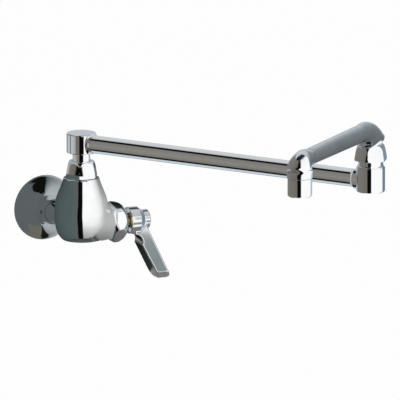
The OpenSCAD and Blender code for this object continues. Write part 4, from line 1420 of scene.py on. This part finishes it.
def spout_sleeves():
    """Round the second joint, its nut, the nozzle and its bend, the level pipe and the end spout's arm."""
    joint = ramp((-88, 120, 130, 138), (-82, 188, 200, 208), (-66, 170, 180, 188), (-64, 50),
                 (-60, WARM_GREY), (-14.5, DARK_BROWN), (-13, BLACK), (1.5, BLACK), (3, WHITE),
                 (52, WHITE), (56, 120, 134, 148), (74, 96, 112, 128), (88, 200, 214, 226))
    sleeve("joint_card", (*JOINT, 0.045), (*JOINT, 0.1035), reach=0.0205, girth=0.0145, stops=joint)
    nut = ramp((-150, 178, 188, 196), (-80, 150, 156, 160), (-74, WARM_GREY), (-39, DARK_BROWN),
               (-37.5, BLACK), (-1, BLACK), (1, WHITE), (58, WHITE), (62, 110, 126, 142),
               (150, 150, 166, 182))
    drum("second_nut_card", JOINT, 0.0205, [(0.1035, nut), (0.1240, nut)])
    bend = ramp((-88, 150, 160, 168), (-76, 120, 124, 126), (-66, WARM_GREY), (-13, DARK_BROWN),
                (-11.5, BLACK), (5, BLACK), (6.5, WHITE), (56, WHITE))
    nozzle = bend + ramp((60, 206, 218, 228), (84, 132, 150, 168))
    bend_foot = (*NOZZLE, 0.119)
    sleeve("nozzle_card", (*NOZZLE, 0.060), bend_foot, reach=0.019, girth=0.0125, stops=nozzle)
    sleeve("bend_card", bend_foot, (*NOZZLE, 0.148), reach=0.019, girth=0.0125, stops=bend)
    pipe = ramp((-88, 70, 80, 88), (-74, 150, 164, 176), (-66, 205, 216, 224), (-50, 196, 204, 210),
                (-47, BLACK), (-36, BLACK), (-33, 120, 117, 112), (-10, 138, 135, 130),
                (20, 124, 122, 118), (23, BLACK), (34, BLACK), (37, 194, 197, 199), (60, 208, 211, 213),
                (80, 196, 200, 202), (88, 120, 126, 130))
    pipe_z = PIPE_HEIGHT * MM
    sleeve("pipe_card", (0.0495, 0.0907, pipe_z), (0.318, 0.2553, pipe_z), reach=0.0125, girth=PIPE_R * MM,
           stops=pipe)
    arm = ramp((-89, 160, 178, 196), (-82, 98, 106, 112), (-60, 94, 100, 104), (-30, 106, 112, 116),
               (0, 118, 125, 129), (20, 132, 139, 144), (42, 170, 178, 183), (58, 198, 204, 208),
               (74, 176, 183, 188), (89, 116, 124, 130))
    sleeve("arm_card", (0.337, 0.2458, 0.1362), (0.2633, 0.3456, 0.1261), reach=0.016, girth=0.009, stops=arm)


def flange_bowl():
    """Round the wall flange: grey, with a dark and a pale patch above and a brown one below."""
    grey = tone(90, 98, 99)
    pale = ramp((54, grey), (62, 128, 136, 136), (80, 165, 170, 172), (125, 180, 186, 188), (150, grey))
    pale_below = ramp((58, 130, 134, 135), (75, 160, 165, 168), (150, 176, 182, 186), (170, grey))
    side = ramp((-170, 72, 82, 82), (-70, grey), (58, grey), (95, 70, 80, 80), (180, 58, 68, 68))
    dark_edge = [(17, 38), (45, -2), (76, -8)]

    def tone_at(a, e):
        if e > 14 and a >= 54:
            return read_off(pale, a)
        if 16 < e < 76:
            (low, first), (high, second) = dark_edge[:2] if e < 45 else dark_edge[1:]
            return tone(14, 15, 15) if mix(first, second, (e - low) / (high - low)) < a else read_off(side, a)
        if e < -33 and a >= 45:
            return tone(24, 23, 20) if a < 58 else read_off(pale_below, a)
        return tone(106, 106, 98) if -80 < e < -42 and -12 < a else read_off(side, a)

    bowl("flange_card", at(0.0, 0.0036, 0.0), 0.047, range(-180, 181, 3), range(-87, 88, 3), tone_at)


def valve_cards():
    """Small cards round the bonnet, the hub and the lever, and a table of dappled grey under them."""
    hub = at(0.11, 0.07, -0.04)
    panel("bonnet_back_card", [(0.045, 0.035), (0.125, 0.035)],
          ramp((0.027, 86, 96, 95), (0.036, 70, 80, 80), (0.040, 16, 18, 18), (0.046, 60, 70, 70),
               (0.066, 84, 92, 92)))
    panel("bonnet_front_card", [(0.089, 0.101), (0.107, 0.086)], ramp((0.002, WHITE), (0.022, WHITE)),
          at(0.075, 0.072, 0))
    panel("lever_front_card", [(0.1986, 0.1878), (0.2414, 0.1402)],
          ramp((-0.088, 128, 137, 137), (-0.030, 142, 151, 151)), hub)
    panel("lever_back_card", [(0.0585, 0.029), (0.1115, 0.001)],
          ramp((-0.100, 18), (-0.070, 40, 44, 44), (-0.035, 14)), hub)

    def shelf(name, rights, nears, tone_at):
        card(name, [[(at(right, near, -0.075), tone_at(right, near)) for right in rights] for near in nears])

    shelf("table_card", (0.0, 0.03, 0.06, 0.09, 0.12, 0.15, 0.165), (-0.04, -0.01, 0.02, 0.05, 0.08, 0.095),
          lambda right, near: tone(121 + 25 * math.sin(70 * right + 1.3) * math.cos(55 * near)))
    shelf("table_front_edge", (0.0, 0.171), (0.095, 0.102), lambda right, near: BLACK)
    shelf("table_side_edge", (0.165, 0.171), (-0.04, 0.095), lambda right, near: BLACK)


floor()
world()
lamp("key_lamp", 40, 45, watts=30)
lamp("fill_lamp", -60, 30, watts=15)
camera_flag()
left_card()
room()
body_drum()
cap_drums()
spout_sleeves()
flange_bowl()
valve_cards()
camera()
bpy.context.scene.view_settings.view_transform = "Standard"
